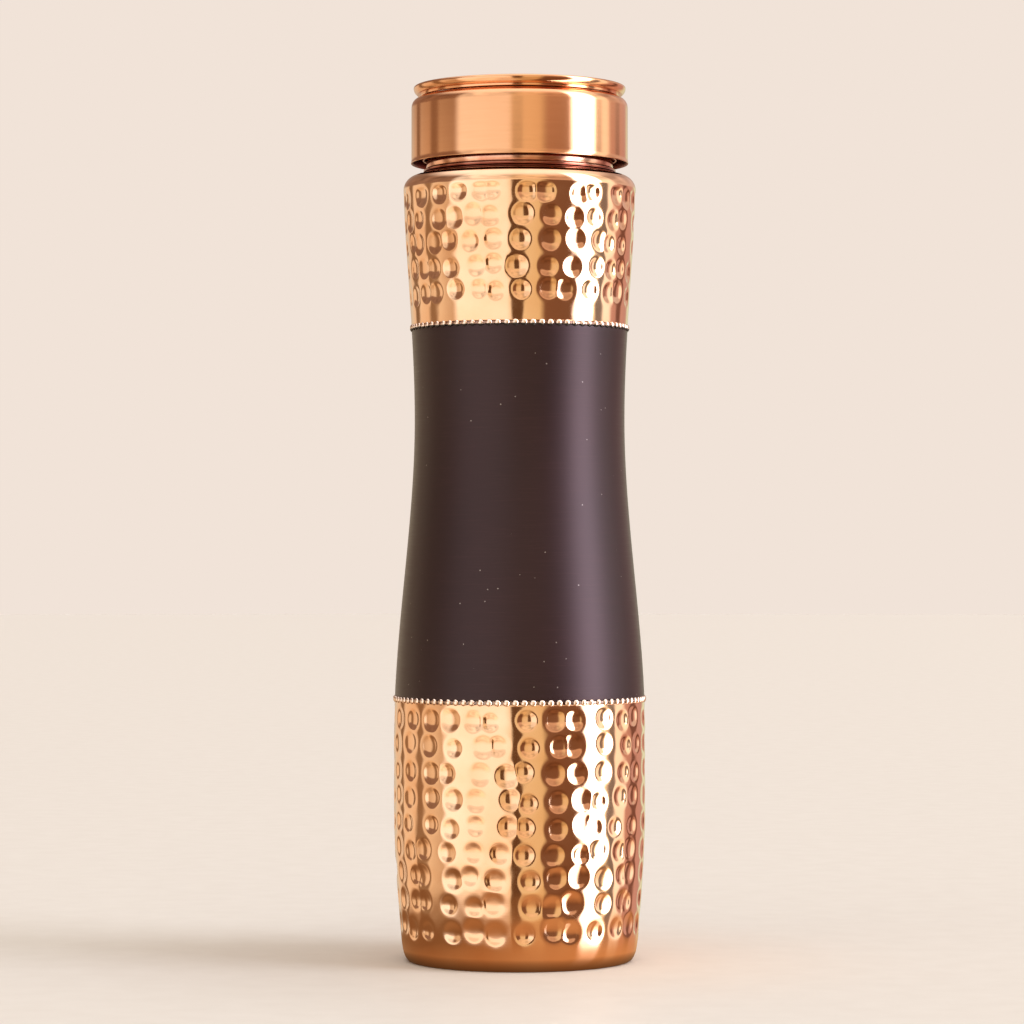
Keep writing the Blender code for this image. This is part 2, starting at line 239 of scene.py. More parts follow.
# What the body's outside runs through: heights, radii, and leans in radius gained per height.
wall_stations = [
    (FOOT_HEIGHT, belly_radius - 2.25 * MM, 0.08),
    (FOOT_HEIGHT + 38.0 * MM, belly_radius, 0.0),
    (low_seam_z - 14.3 * MM, belly_radius, 0.0),
    (low_seam_z, low_ring[1].x - BEAD_STAND, -0.04),
    (low_seam_z + 87.5 * MM, waist_radius, 0.0),
    (high_seam_z, high_ring[1].x - BEAD_STAND, 0.06),
    (shoulder_z - SHOULDER_CORNER, shoulder_radius, 0.02),
]


def wall_radius(z):
    """Radius of the body's outside at a height: a smooth curve through the stations."""
    for (z0, r0, lean0), (z1, r1, lean1) in zip(wall_stations, wall_stations[1:]):
        if z <= z1:
            break
    t = min(max((z - z0) / (z1 - z0), 0.0), 1.0)
    rise = r0 + (r1 - r0) * t * t * (3 - 2 * t)
    return rise + (z1 - z0) * (lean0 * t * (1 - t) ** 2 + lean1 * t * t * (t - 1))


def wall_line(top, bottom, spacing, inset=0.0):
    """Points down the body's outside, at most spacing apart, set in by inset."""
    rows = max(1, math.ceil((top - bottom) / spacing))
    heights = [top + (bottom - top) * i / rows for i in range(rows + 1)]
    return [(wall_radius(z) - inset, z) for z in heights]


def lower_line(spacing, foot_steps, edge_round):
    """The lower shell's outside from its spigot to the inner edge of the standing ring."""
    edge = low_seam_z - SEAT_HALF
    foot_top = wall_radius(FOOT_HEIGHT)
    line = wall_line(low_seam_z + SPIGOT_HEIGHT, edge, SPIGOT_HEIGHT, SPIGOT_STEP)
    if edge_round:
        across = wall_radius(edge)
        line += bend((across - edge_round, edge), (across, edge), (across, edge - edge_round), 4)
    line += wall_line(edge - edge_round, FOOT_HEIGHT, spacing)[bool(edge_round):-1]
    line += bend((foot_top, FOOT_HEIGHT), (foot_top - FOOT_TAPER, 0.0), (STANDING_OUTER, 0.0), foot_steps)
    return line + [(STANDING_INNER, 0.0)]


def new_tree(name, whole_numbers, sizes):
    """A Geometry Nodes tree that takes a mesh, named numbers and a finish: the tree and its inputs."""
    tree = bpy.data.node_groups.new(name, "GeometryNodeTree")
    labels = [("Geometry", "Geometry")]
    labels += [(label, "Int") for label in whole_numbers]
    labels += [(label, "Float") for label in sizes]
    for label, kind in labels + [("Finish", "Material")]:
        tree.interface.new_socket(name=label, in_out="INPUT", socket_type="NodeSocket" + kind)
    tree.interface.new_socket(name="Geometry", in_out="OUTPUT", socket_type="NodeSocketGeometry")
    return tree, add_node(tree, "NodeGroupInput").outputs


def run_tree(piece, tree, values):
    """Run a tree on a piece with its inputs given by name, and keep the result as a plain mesh."""
    modifier = piece.modifiers.new(tree.name, "NODES")
    modifier.node_group = tree
    sockets = {item.name: item.identifier for item in tree.interface.items_tree if item.in_out == "INPUT"}
    for name, value in values.items():
        modifier[sockets[name]] = value
    ready = piece.evaluated_get(bpy.context.evaluated_depsgraph_get())
    made = bpy.data.meshes.new_from_object(ready)
    piece.modifiers.remove(modifier)
    old = piece.data
    piece.data = made
    bpy.data.meshes.remove(old)
    made.name = piece.name


# The hammer: rows and columns of blows, each a little off its place and of its own size and depth. The
# sheet goes in under each blow as the hammer's round nose does, and is pulled in softly around it.
COLUMN_SWAY = 0.12  # most that a column starts off its place, as a share of the space between columns
COLUMN_DRIFT = 0.34  # most that a column wanders on its way up, the same
ROW_SWAY = 0.09  # most that a blow lies off its row, as a share of the space between rows
WIDTH_SPREAD = 0.13  # blows are up to this share wider or narrower
FORCE_SPREAD = 0.25  # and up to this share deeper or shallower
NOSE_SOFTNESS = 0.13 * MM  # rounds the edge of a blow
LIP_SHARE = 1.14  # the lip stands at this many blow radii from the middle
LIP_WIDTH = 0.13  # and is this wide, the same
LIP_HEIGHT = 0.035 * MM
PULL_START = 0.55  # the soft pull around a blow fades from this many blow radii
PULL_END = 1.55  # to this many
WAVE_LENGTH = 7 * MM
WAVE_HEIGHT = 0.12 * MM
REACH = 60.0 * MM  # blows are aimed from this far off the axis, outside the widest place
hammering, given = new_tree("hammering", ["Columns", "Rows", "Seed"], [
    "First Height", "Row Spacing", "Blow Radius", "Depth", "Pull", "Wander", "Low Edge", "High Edge",
])
index = add_node(hammering, "GeometryNodeInputIndex").outputs[0]
column = add_node(
    hammering, "ShaderNodeMath", {0: index, 1: given["Columns"]}, operation="MODULO"
).outputs[0]
level = add_node(
    hammering, "ShaderNodeMath", {0: index, 1: given["Columns"]}, operation="DIVIDE"
).outputs[0]
level = add_node(hammering, "ShaderNodeMath", {0: level}, operation="FLOOR").outputs[0]
chances = []
for shift in range(5):
    seed = add_node(hammering, "ShaderNodeMath", {0: given["Seed"], 1: shift}, operation="ADD").outputs[0]
    chance = add_node(
        hammering, "FunctionNodeRandomValue", {2: -1.0, 3: 1.0, "Seed": seed}, data_type="FLOAT"
    )
    chances.append(chance)
hammering.links.new(column, chances[0].inputs["ID"])
sway = add_node(
    hammering, "ShaderNodeMath", {0: chances[0].outputs[1], 1: COLUMN_SWAY}, operation="MULTIPLY"
).outputs[0]
drift_x = add_node(hammering, "ShaderNodeMath", {0: column, 1: 7.31}, operation="MULTIPLY").outputs[0]
drift_y = add_node(hammering, "ShaderNodeMath", {0: level, 1: 0.37}, operation="MULTIPLY").outputs[0]
drift = add_node(hammering, "ShaderNodeCombineXYZ", {0: drift_x, 1: drift_y, 2: given["Seed"]}).outputs[0]
drift = add_node(hammering, "ShaderNodeTexNoise", {"Vector": drift, "Scale": 1.0, "Detail": 0.0}).outputs[0]
drift = add_node(
    hammering, "ShaderNodeMapRange", {0: drift, 1: 0.25, 2: 0.75, 3: -COLUMN_DRIFT, 4: COLUMN_DRIFT}
).outputs[0]
sway = add_node(hammering, "ShaderNodeMath", {0: sway, 1: drift}, operation="ADD").outputs[0]
step = add_node(
    hammering, "ShaderNodeMath", {0: chances[1].outputs[1], 1: given["Wander"]}, operation="MULTIPLY"
)
turn = column
for operation, value in (
    ("ADD", sway), ("ADD", step.outputs[0]), ("DIVIDE", given["Columns"]), ("MULTIPLY", 2 * math.pi),
):
    turn = add_node(hammering, "ShaderNodeMath", {0: turn, 1: value}, operation=operation).outputs[0]
lift = add_node(
    hammering, "ShaderNodeMath", {0: chances[2].outputs[1], 1: ROW_SWAY}, operation="MULTIPLY"
).outputs[0]
lift = add_node(hammering, "ShaderNodeMath", {0: level, 1: lift}, operation="ADD").outputs[0]
lift = add_node(
    hammering, "ShaderNodeMath", {0: lift, 1: given["Row Spacing"], 2: given["First Height"]},
    operation="MULTIPLY_ADD",
).outputs[0]
aim = add_node(hammering, "ShaderNodeCombineXYZ", {2: lift})
for side, operation in enumerate(("COSINE", "SINE")):
    share = add_node(hammering, "ShaderNodeMath", {0: turn}, operation=operation).outputs[0]
    reach = add_node(hammering, "ShaderNodeMath", {0: share, 1: REACH}, operation="MULTIPLY").outputs[0]
    hammering.links.new(reach, aim.inputs[side])
aim = aim.outputs[0]
total = add_node(
    hammering, "ShaderNodeMath", {0: given["Columns"], 1: given["Rows"]}, operation="MULTIPLY"
).outputs[0]
struck = add_node(
    hammering, "GeometryNodeProximity", {0: given["Geometry"], 2: aim}, target_element="FACES"
).outputs["Position"]
blows = add_node(hammering, "GeometryNodePoints", {"Count": total, "Position": aim}).outputs[0]
blows = add_node(hammering, "GeometryNodeSetPosition", {"Geometry": blows, "Position": struck}).outputs[0]
here = add_node(hammering, "GeometryNodeInputPosition").outputs[0]
nearest = add_node(hammering, "GeometryNodeSampleNearest", {0: blows, 1: here}, domain="POINT").outputs[0]
centre = add_node(
    hammering, "GeometryNodeSampleIndex", {0: blows, 1: here, 2: nearest}, data_type="FLOAT_VECTOR"
).outputs[0]
away = add_node(
    hammering, "ShaderNodeVectorMath", {0: here, 1: centre}, operation="DISTANCE"
).outputs["Value"]
own = []
for chance, spread, size in (
    (chances[3], WIDTH_SPREAD, given["Blow Radius"]), (chances[4], FORCE_SPREAD, given["Depth"]),
):
    value = add_node(
        hammering, "GeometryNodeSampleIndex", {0: blows, 1: chance.outputs[1], 2: nearest}, data_type="FLOAT"
    ).outputs[0]
    value = add_node(hammering, "ShaderNodeMath", {0: value, 1: spread, 2: 1.0}, operation="MULTIPLY_ADD")
    value = add_node(hammering, "ShaderNodeMath", {0: value.outputs[0], 1: size}, operation="MULTIPLY")
    own.append(value.outputs[0])
width, force = own
share = add_node(hammering, "ShaderNodeMath", {0: away, 1: width}, operation="DIVIDE").outputs[0]
nose = add_node(hammering, "ShaderNodeMath", {0: share, 1: 2.0}, operation="POWER").outputs[0]
nose = add_node(hammering, "ShaderNodeMath", {0: 1.0, 1: nose}, operation="SUBTRACT").outputs[0]
nose = add_node(hammering, "ShaderNodeMath", {0: nose, 1: force}, operation="MULTIPLY").outputs[0]
nose = add_node(
    hammering, "ShaderNodeMath", {0: nose, 1: 0.0, 2: NOSE_SOFTNESS}, operation="SMOOTH_MAX"
).outputs[0]
# The metal that the blow pushes aside stands up around it as a low, soft rim.
lip = add_node(hammering, "ShaderNodeMath", {0: share, 1: LIP_SHARE}, operation="SUBTRACT").outputs[0]
lip = add_node(hammering, "ShaderNodeMath", {0: lip, 1: LIP_WIDTH}, operation="DIVIDE").outputs[0]
lip = add_node(hammering, "ShaderNodeMath", {0: lip, 1: lip}, operation="MULTIPLY").outputs[0]
lip = add_node(hammering, "ShaderNodeMath", {0: lip, 1: -1.0}, operation="MULTIPLY").outputs[0]
lip = add_node(hammering, "ShaderNodeMath", {0: lip}, operation="EXPONENT").outputs[0]
lip = add_node(
    hammering, "ShaderNodeMath", {0: lip, 1: -LIP_HEIGHT, 2: nose}, operation="MULTIPLY_ADD"
).outputs[0]
pulled = add_node(
    hammering, "ShaderNodeMapRange", {0: share, 1: PULL_START, 2: PULL_END, 3: 1.0, 4: 0.0},
    interpolation_type="SMOOTHSTEP",
).outputs[0]
pulled = add_node(
    hammering, "ShaderNodeMath", {0: pulled, 1: given["Pull"]}, operation="MULTIPLY"
).outputs[0]
dent = add_node(hammering, "ShaderNodeMath", {0: lip, 1: pulled}, operation="ADD").outputs[0]
# The sheet is never quite true between the blows either: it has a slow, low wave.
wave = add_node(
    hammering, "ShaderNodeTexNoise", {"Vector": here, "Scale": 1 / WAVE_LENGTH, "Detail": 1.0}
).outputs[0]
dent = add_node(
    hammering, "ShaderNodeMath", {0: wave, 1: WAVE_HEIGHT, 2: dent}, operation="MULTIPLY_ADD"
).outputs[0]
place = add_node(hammering, "ShaderNodeSeparateXYZ", {0: here}).outputs
above = add_node(hammering, "ShaderNodeMath", {0: place[2], 1: given["Low Edge"]}, operation="SUBTRACT")
under = add_node(hammering, "ShaderNodeMath", {0: given["High Edge"], 1: place[2]}, operation="SUBTRACT")
fade = add_node(
    hammering, "ShaderNodeMath", {0: above.outputs[0], 1: under.outputs[0]}, operation="MINIMUM"
).outputs[0]
fade = add_node(
    hammering, "ShaderNodeMapRange", {0: fade, 1: 0.0, 2: 2.0 * MM}, interpolation_type="SMOOTHSTEP"
).outputs[0]
dent = add_node(hammering, "ShaderNodeMath", {0: dent, 1: fade}, operation="MULTIPLY").outputs[0]
inward = add_node(hammering, "ShaderNodeCombineXYZ", {0: place[0], 1: place[1]}).outputs[0]
inward = add_node(hammering, "ShaderNodeVectorMath", {0: inward}, operation="NORMALIZE").outputs[0]
dent = add_node(hammering, "ShaderNodeMath", {0: dent, 1: -1.0}, operation="MULTIPLY").outputs[0]
push = add_node(hammering, "ShaderNodeVectorMath", {0: inward, "Scale": dent}, operation="SCALE").outputs[0]
beaten = add_node(
    hammering, "GeometryNodeSetPosition", {"Geometry": given["Geometry"], "Offset": push}
).outputs[0]
beaten = add_node(hammering, "GeometryNodeRealizeInstances", {0: beaten}).outputs[0]
beaten = add_node(hammering, "GeometryNodeSetMaterial", {0: beaten, "Material": given["Finish"]}).outputs[0]
add_node(hammering, "NodeGroupOutput", {0: beaten})

# Polished copper: hammered, buffed bright and lacquered clear. The eye gets a warm mirror, broken up by
# the dimples, with a faint skin of fine turning rings and slightly pinker and yellower patches.
hammered_copper, tree = new_finish("hammered_polished_copper")
place = add_node(tree, "ShaderNodeTexCoord").outputs["Object"]
patches = add_node(
    tree, "ShaderNodeTexNoise", {"Vector": place, "Scale": 1 / (18 * MM), "Detail": 4.0}
).outputs[0]
tint = add_node(tree, "ShaderNodeMapRange", {0: patches, 1: 0.3, 2: 0.7}).outputs[0]
shade = add_node(
    tree, "ShaderNodeMix", {0: tint, 6: linear("#f5bf95"), 7: linear("#fbd0ad")}, data_type="RGBA"
)
haze = add_node(
    tree, "ShaderNodeTexNoise", {"Vector": place, "Scale": 1 / (5 * MM), "Detail": 6.0}
).outputs[0]
gloss = add_node(tree, "ShaderNodeMapRange", {0: haze, 1: 0.3, 2: 0.7, 3: 0.05, 4: 0.11})
# Turning rings of about 0.1 mm, drawn 0.45 mm wide so that they show.
rings = lathe_lines(tree, 0.45 * MM, 2.0)
height = add_node(tree, "ShaderNodeSeparateXYZ", {0: place}).outputs[2]
# They show most on the plain foot, below the dimples.
near_foot = add_node(
    tree, "ShaderNodeMapRange", {0: height, 1: 12 * MM, 2: 26 * MM, 3: 1.0, 4: 0.2}
).outputs[0]
rings = add_node(tree, "ShaderNodeMath", {0: rings, 1: near_foot}, operation="MULTIPLY").outputs[0]
relief = add_node(tree, "ShaderNodeBump", {"Height": rings, "Strength": 0.5, "Distance": 0.012 * MM})
surface = add_node(tree, "ShaderNodeBsdfPrincipled", {
    "Base Color": shade.outputs[2], "Metallic": 1.0, "Roughness": gloss.outputs[0],
    "Normal": relief.outputs[0], "Coat Weight": 0.2, "Coat Roughness": 0.04,
})
add_node(tree, "ShaderNodeOutputMaterial", {"Surface": surface.outputs[0]})

lower_section = sheet_section(lower_line(0.52 * MM, 16, 0.25 * MM), lower_line(2.6 * MM, 5, 0.0), WALL)
lower_shell = turned("hammered_lower_shell", lower_section, 450)
hammer = {
    "Columns": 29, "Depth": 0.37 * MM, "Pull": 0.27 * MM, "Wander": 0.08, "Finish": hammered_copper,
}
run_tree(lower_shell, hammering, {
    **hammer, "Rows": 9, "Seed": 11, "First Height": 10.6 * MM, "Row Spacing": 8.35 * MM,
    "Blow Radius": 2.95 * MM, "Low Edge": 3.0 * MM, "High Edge": low_seam_z - SEAT_HALF - 0.4 * MM,
})
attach(lower_shell, "bottle")
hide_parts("lower_shell")


# ---- Lower bead row -------------------------------------------------------------------------
# Beaded copper wire soldered round the seam: half-round beads side by side on a thin flat band.
# Its crowns are polished where a cloth reaches and carry painted highlight, and the gaps between
# the beads are painted dark, partly as tarnish and partly as painted shade.

# The row: a band, and beads with flat backs set round it at even steps, facing outwards.
beading, given = new_tree("beading", ["Beads"], ["Ring Radius", "Seam Height", "Bead Radius", "Stand"])
bead = add_node(beading, "GeometryNodeMeshUVSphere", {"Segments": 10, "Rings": 6, "Radius": 1.0}).outputs[0]
bead = add_node(beading, "GeometryNodeTransform", {0: bead, "Rotation": (0.0, math.pi / 2, 0.0)}).outputs[0]
spot = add_node(beading, "GeometryNodeInputPosition").outputs[0]
parts = add_node(beading, "ShaderNodeSeparateXYZ", {0: spot}).outputs
front = add_node(beading, "ShaderNodeMath", {0: parts[0], 1: 0.0}, operation="MAXIMUM").outputs[0]
flat_back = add_node(beading, "ShaderNodeCombineXYZ", {0: front, 1: parts[1], 2: parts[2]}).outputs[0]
bead = add_node(beading, "GeometryNodeSetPosition", {"Geometry": bead, "Position": flat_back}).outputs[0]
bead = add_node(beading, "GeometryNodeSetShadeSmooth", {"Geometry": bead}).outputs[0]
size = add_node(
    beading, "ShaderNodeCombineXYZ", {0: given["Stand"], 1: given["Bead Radius"], 2: given["Bead Radius"]}
).outputs[0]
circle = add_node(
    beading, "GeometryNodeMeshCircle", {"Vertices": given["Beads"], "Radius": given["Ring Radius"]}
).outputs[0]
raised = add_node(beading, "ShaderNodeCombineXYZ", {2: given["Seam Height"]}).outputs[0]
outward = add_node(
    beading, "FunctionNodeAlignRotationToVector", {"Vector": spot}, axis="X", pivot_axis="Z"
).outputs[0]
row = add_node(
    beading, "GeometryNodeInstanceOnPoints",
    {"Points": circle, "Instance": bead, "Rotation": outward, "Scale": size},
).outputs[0]
row = add_node(beading, "GeometryNodeTransform", {0: row, "Translation": raised}).outputs[0]
row = add_node(beading, "GeometryNodeRealizeInstances", {0: row}).outputs[0]
both = add_node(beading, "GeometryNodeJoinGeometry")
beading.links.new(row, both.inputs[0])
beading.links.new(given["Geometry"], both.inputs[0])
both = add_node(
    beading, "GeometryNodeSetMaterial", {0: both.outputs[0], "Material": given["Finish"]}
).outputs[0]
add_node(beading, "NodeGroupOutput", {0: both})

BAND = 0.45 * MM  # thickness of the band
BEAD_RADIUS = 1.1 * MM
BEAD_DEPTH = 0.65 * MM  # from a bead's flat back to its front


def rubbed_beads_painted_light(tree, place, ring_box, grain, root):
    """Colour and mottle of a ring's beads: crowns rubbed and with painted highlight, roots tarnished and in
    painted shade.
    """
    axes = add_node(tree, "ShaderNodeSeparateXYZ", {0: place})
    across = add_node(tree, "ShaderNodeCombineXYZ", {0: axes.outputs[0], 1: axes.outputs[1]})
    radius = add_node(
        tree, "ShaderNodeVectorMath", {0: across.outputs[0]}, operation="LENGTH"
    ).outputs["Value"]
    low, high = ring_box[1].x - BEAD_DEPTH, ring_box[1].x - 0.40 * MM
    # How far a spot stands out: the crowns get a near-white painted highlight, the roots and band a dark
    # painted shade.
    proud = add_node(tree, "ShaderNodeMapRange", {0: radius, 1: low, 2: high}).outputs[0]
    mottle = add_node(
        tree, "ShaderNodeTexNoise", {"Vector": place, "Scale": 1 / grain, "Detail": 3.0}
    ).outputs[0]
    tone_mix = add_node(tree, "ShaderNodeMath", {0: proud, 1: mottle}, operation="MULTIPLY").outputs[0]
    tone_mix = add_node(tree, "ShaderNodeMapRange", {0: tone_mix, 1: 0.0, 2: 0.4}).outputs[0]
    shade = add_node(
        tree, "ShaderNodeMix", {0: tone_mix, 6: linear(root), 7: linear("#ffe6d6")}, data_type="RGBA"
    )
    return shade.outputs[2], mottle


def band_section(ring_box):
    """Section of the thin band that the beads stand on, with its edges rounded."""
    inner = ring_box[1].x - BEAD_STAND - 0.5 * MM
    low, high = ring_box[0].z + 0.75 * MM, ring_box[1].z - 0.75 * MM
    edge = 0.1 * MM
    section = [(inner, high), (inner + BAND - edge, high)]
    section += bend((inner + BAND - edge, high), (inner + BAND, high), (inner + BAND, high - edge), 3)[1:]
    section += bend((inner + BAND, low + edge), (inner + BAND, low), (inner + BAND - edge, low), 3)
    return section + [(inner, low)]


def bead_row(name, ring_box, beads, finish):
    """A whole row: the band round a seam and so many beads on it."""
    row = turned(name, band_section(ring_box), 2 * beads)
    run_tree(row, beading, {
        "Beads": beads, "Ring Radius": ring_box[1].x - BEAD_DEPTH, "Stand": BEAD_DEPTH,
        "Seam Height": (ring_box[0].z + ring_box[1].z) / 2, "Bead Radius": BEAD_RADIUS, "Finish": finish,
    })
    return row


# Bead copper: drawn wire, rolled to beads and rubbed up. The eye gets a row of pink sparks with near-white
# crowns as painted highlight, brown roots that are partly tarnish and partly painted shade, and a slightly
# uneven polish from bead to bead.
bead_copper, tree = new_finish("rolled_bead_copper_painted_light")
place = add_node(tree, "ShaderNodeTexCoord").outputs["Object"]
shade, mottle = rubbed_beads_painted_light(tree, place, low_ring, 1.5 * MM, "#4e2c20")
gloss = add_node(tree, "ShaderNodeMapRange", {0: mottle, 1: 0.3, 2: 0.7, 3: 0.12, 4: 0.2})
surface = add_node(
    tree, "ShaderNodeBsdfPrincipled",
    {"Base Color": shade, "Metallic": 1.0, "Roughness": gloss.outputs[0]},
)
add_node(tree, "ShaderNodeOutputMaterial", {"Surface": surface.outputs[0]})

lower_beads = bead_row("lower_bead_row", low_ring, 90, bead_copper)
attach(lower_beads, "bottle")
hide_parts("lower_bead_ring")


# ---- Lacquered waist ------------------------------------------------------------------------
# Copper sheet spun to a slender waist, rubbed round with a fine abrasive and sprayed with a dark
# brown-black lacquer that lets a little of the rubbed metal's lines through.

def waist_line(spacing, edge_round):
    """The waist's outside from its spigot down to the lower seam."""
    edge = high_seam_z - SEAT_HALF
    line = wall_line(high_seam_z + SPIGOT_HEIGHT, edge, SPIGOT_HEIGHT, SPIGOT_STEP)
    if edge_round:
        across = wall_radius(edge)
        line += bend((across - edge_round, edge), (across, edge), (across, edge - edge_round), 4)
    return line + wall_line(edge - edge_round, low_seam_z + SEAT_HALF, spacing)[bool(edge_round):]


waist_section = sheet_section(waist_line(1.6 * MM, 0.25 * MM), waist_line(8.0 * MM, 0.0), WALL)
waist_shell = turned("lacquered_waist", waist_section, 240)

# Dark lacquer: nitrocellulose over rubbed copper. The eye gets a brown-black with a silky sheen that is
# drawn out up and down, hair lines round the waist, a hint of plum, and a few specks of dust.
dark_lacquer, tree = new_finish("sprayed_dark_lacquer")
place = add_node(tree, "ShaderNodeTexCoord").outputs["Object"]
# The hair lines are about 0.1 mm wide in the real finish and are drawn 0.4 mm wide.
lines = lathe_lines(tree, 0.4 * MM, 3.0)
clouds = add_node(
    tree, "ShaderNodeTexNoise", {"Vector": place, "Scale": 1 / (30 * MM), "Detail": 5.0}
).outputs[0]
plum = add_node(
    tree, "ShaderNodeMix", {0: clouds, 6: linear("#2b161c"), 7: linear("#371c22")}, data_type="RGBA"
)
streak = add_node(tree, "ShaderNodeMapRange", {0: lines, 1: 0.5, 2: 0.85, 3: 0.0, 4: 0.35}).outputs[0]
shade = add_node(
    tree, "ShaderNodeMix", {0: streak, 6: plum.outputs[2], 7: linear("#503036")}, data_type="RGBA"
)
# Specks of dust up to 0.4 mm across, a little larger than real ones, one to about 2 square centimetres.
dust = add_node(
    tree, "ShaderNodeTexVoronoi", {"Vector": place, "Scale": 1 / (4.2 * MM), "Randomness": 1.0}
).outputs["Distance"]
dust = add_node(tree, "ShaderNodeMath", {0: dust, 1: 0.045}, operation="LESS_THAN").outputs[0]
shade = add_node(
    tree, "ShaderNodeMix", {0: dust, 6: shade.outputs[2], 7: linear("#a89c98")}, data_type="RGBA"
)
gloss = add_node(tree, "ShaderNodeMapRange", {0: lines, 1: 0.3, 2: 0.7, 3: 0.44, 4: 0.54})
relief = add_node(tree, "ShaderNodeBump", {"Height": lines, "Strength": 0.25, "Distance": 0.02 * MM})
tangent = add_node(tree, "ShaderNodeTangent", direction_type="RADIAL", axis="Z")
surface = add_node(tree, "ShaderNodeBsdfPrincipled", {
    "Base Color": shade.outputs[2], "Metallic": 0.85, "Roughness": gloss.outputs[0],
    "Normal": relief.outputs[0], "Anisotropic": 0.3, "Anisotropic Rotation": 0.25,
    "Tangent": tangent.outputs[0], "Coat Weight": 0.65, "Coat Roughness": 0.42, "Coat IOR": 1.45,
    "Coat Normal": relief.outputs[0],
})
add_node(tree, "ShaderNodeOutputMaterial", {"Surface": surface.outputs[0]})

waist_shell.data.materials.append(dark_lacquer)
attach(waist_shell, "bottle")
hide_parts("waist_shell")


# ---- Upper bead row -------------------------------------------------------------------------
# The same beaded wire round the upper seam. The waist was masked along the middle of the beads when
# it was sprayed, so their lower halves are dark and their upper halves are bare copper.

masked_beads, tree = new_finish("half_lacquered_bead_copper_painted_light")
place = add_node(tree, "ShaderNodeTexCoord").outputs["Object"]
height = add_node(tree, "ShaderNodeSeparateXYZ", {0: place}).outputs[2]
# The bare upper halves get the same painted highlight on their crowns and painted shade at their roots.
bare, mottle = rubbed_beads_painted_light(tree, place, high_ring, 1.2 * MM, "#7a4634")
ragged = add_node(
    tree, "ShaderNodeMath", {0: mottle, 1: 0.9 * MM, 2: height}, operation="MULTIPLY_ADD"
).outputs[0]
masked = add_node(
    tree, "ShaderNodeMapRange", {0: ragged, 1: high_seam_z + 0.05 * MM, 2: high_seam_z + 0.30 * MM}
).outputs[0]
shade = add_node(
    tree, "ShaderNodeMix", {0: masked, 6: linear("#1d1514"), 7: bare}, data_type="RGBA"
)
gloss = add_node(tree, "ShaderNodeMapRange", {0: masked, 3: 0.36, 4: 0.2})
surface = add_node(
    tree, "ShaderNodeBsdfPrincipled",
    {"Base Color": shade.outputs[2], "Metallic": masked, "Roughness": gloss.outputs[0]},
)
add_node(tree, "ShaderNodeOutputMaterial", {"Surface": surface.outputs[0]})

upper_beads = bead_row("upper_bead_row", high_ring, 78, masked_beads)
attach(upper_beads, "bottle")
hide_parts("upper_bead_ring")


# ---- Hammered upper shell -------------------------------------------------------------------
# Copper sheet spun to the flared top of the bottle and turned in over a rounded shoulder to the hole
# for the neck. Its wall has five rows of hammer dimples, and the shoulder is left plain.

def upper_line(spacing, corner_steps):
    """The upper shell's outside from the neck's hole, over the shoulder, down to the seam."""
    corner_z = shoulder_z - SHOULDER_CORNER
    across = shoulder_radius - SHOULDER_CORNER
    line = [(28.5 * MM, shoulder_z), (30.0 * MM, shoulder_z)]
    for i in range(corner_steps + 1):
        turn = math.pi / 2 * i / corner_steps
        line.append((across + SHOULDER_CORNER * math.sin(turn), corner_z + SHOULDER_CORNER * math.cos(turn)))
    return line + wall_line(corner_z, high_seam_z + SEAT_HALF, spacing)[1:]


upper_section = sheet_section(upper_line(0.5 * MM, 14), upper_line(2.6 * MM, 5), WALL)
upper_shell = turned("hammered_upper_shell", upper_section, 460)
run_tree(upper_shell, hammering, {
    **hammer, "Rows": 5, "Seed": 37, "First Height": high_seam_z + 8.1 * MM, "Row Spacing": 7.8 * MM,
    "Blow Radius": 2.85 * MM, "Low Edge": high_seam_z + SEAT_HALF + 0.3 * MM,
    "High Edge": shoulder_z - SHOULDER_CORNER,
})
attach(upper_shell, "bottle")
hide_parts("upper_shell")


# ---- Threaded neck --------------------------------------------------------------------------
# A tube of copper with its lip curled outwards over itself, a coarse thread rolled into its wall and
# a flange under the shoulder, where it is soldered. It is left duller than the outside.

# The thread roller: pushes both faces of a wall out or in along a right-hand helix about +Z, with a
# flat crest, sloping flanks and ends that fade out.
rolling, given = new_tree("thread_rolling", [], [
    "Start Height", "Pitch", "Turns", "Depth", "Root Width", "Crest Width", "Least Radius",
])
here = add_node(rolling, "GeometryNodeInputPosition").outputs[0]
place = add_node(rolling, "ShaderNodeSeparateXYZ", {0: here}).outputs
turn = add_node(rolling, "ShaderNodeMath", {0: place[1], 1: place[0]}, operation="ARCTAN2").outputs[0]
turn = add_node(rolling, "ShaderNodeMath", {0: turn, 1: 2 * math.pi}, operation="DIVIDE").outputs[0]
turn = add_node(rolling, "ShaderNodeMath", {0: turn, 1: 1.0, 2: 0.0}, operation="WRAP").outputs[0]
climb = add_node(
    rolling, "ShaderNodeMath", {0: place[2], 1: given["Start Height"]}, operation="SUBTRACT"
).outputs[0]
climb = add_node(rolling, "ShaderNodeMath", {0: climb, 1: given["Pitch"]}, operation="DIVIDE").outputs[0]
lap = add_node(rolling, "ShaderNodeMath", {0: climb, 1: turn}, operation="SUBTRACT").outputs[0]
lap = add_node(rolling, "ShaderNodeMath", {0: lap}, operation="ROUND").outputs[0]
along = add_node(rolling, "ShaderNodeMath", {0: lap, 1: turn}, operation="ADD").outputs[0]
beside = add_node(rolling, "ShaderNodeMath", {0: climb, 1: along}, operation="SUBTRACT").outputs[0]
beside = add_node(rolling, "ShaderNodeMath", {0: beside}, operation="ABSOLUTE").outputs[0]
beside = add_node(
    rolling, "ShaderNodeMath", {0: beside, 1: given["Pitch"]}, operation="MULTIPLY"
).outputs[0]
half_root = add_node(
    rolling, "ShaderNodeMath", {0: given["Root Width"], 1: 0.5}, operation="MULTIPLY"
).outputs[0]
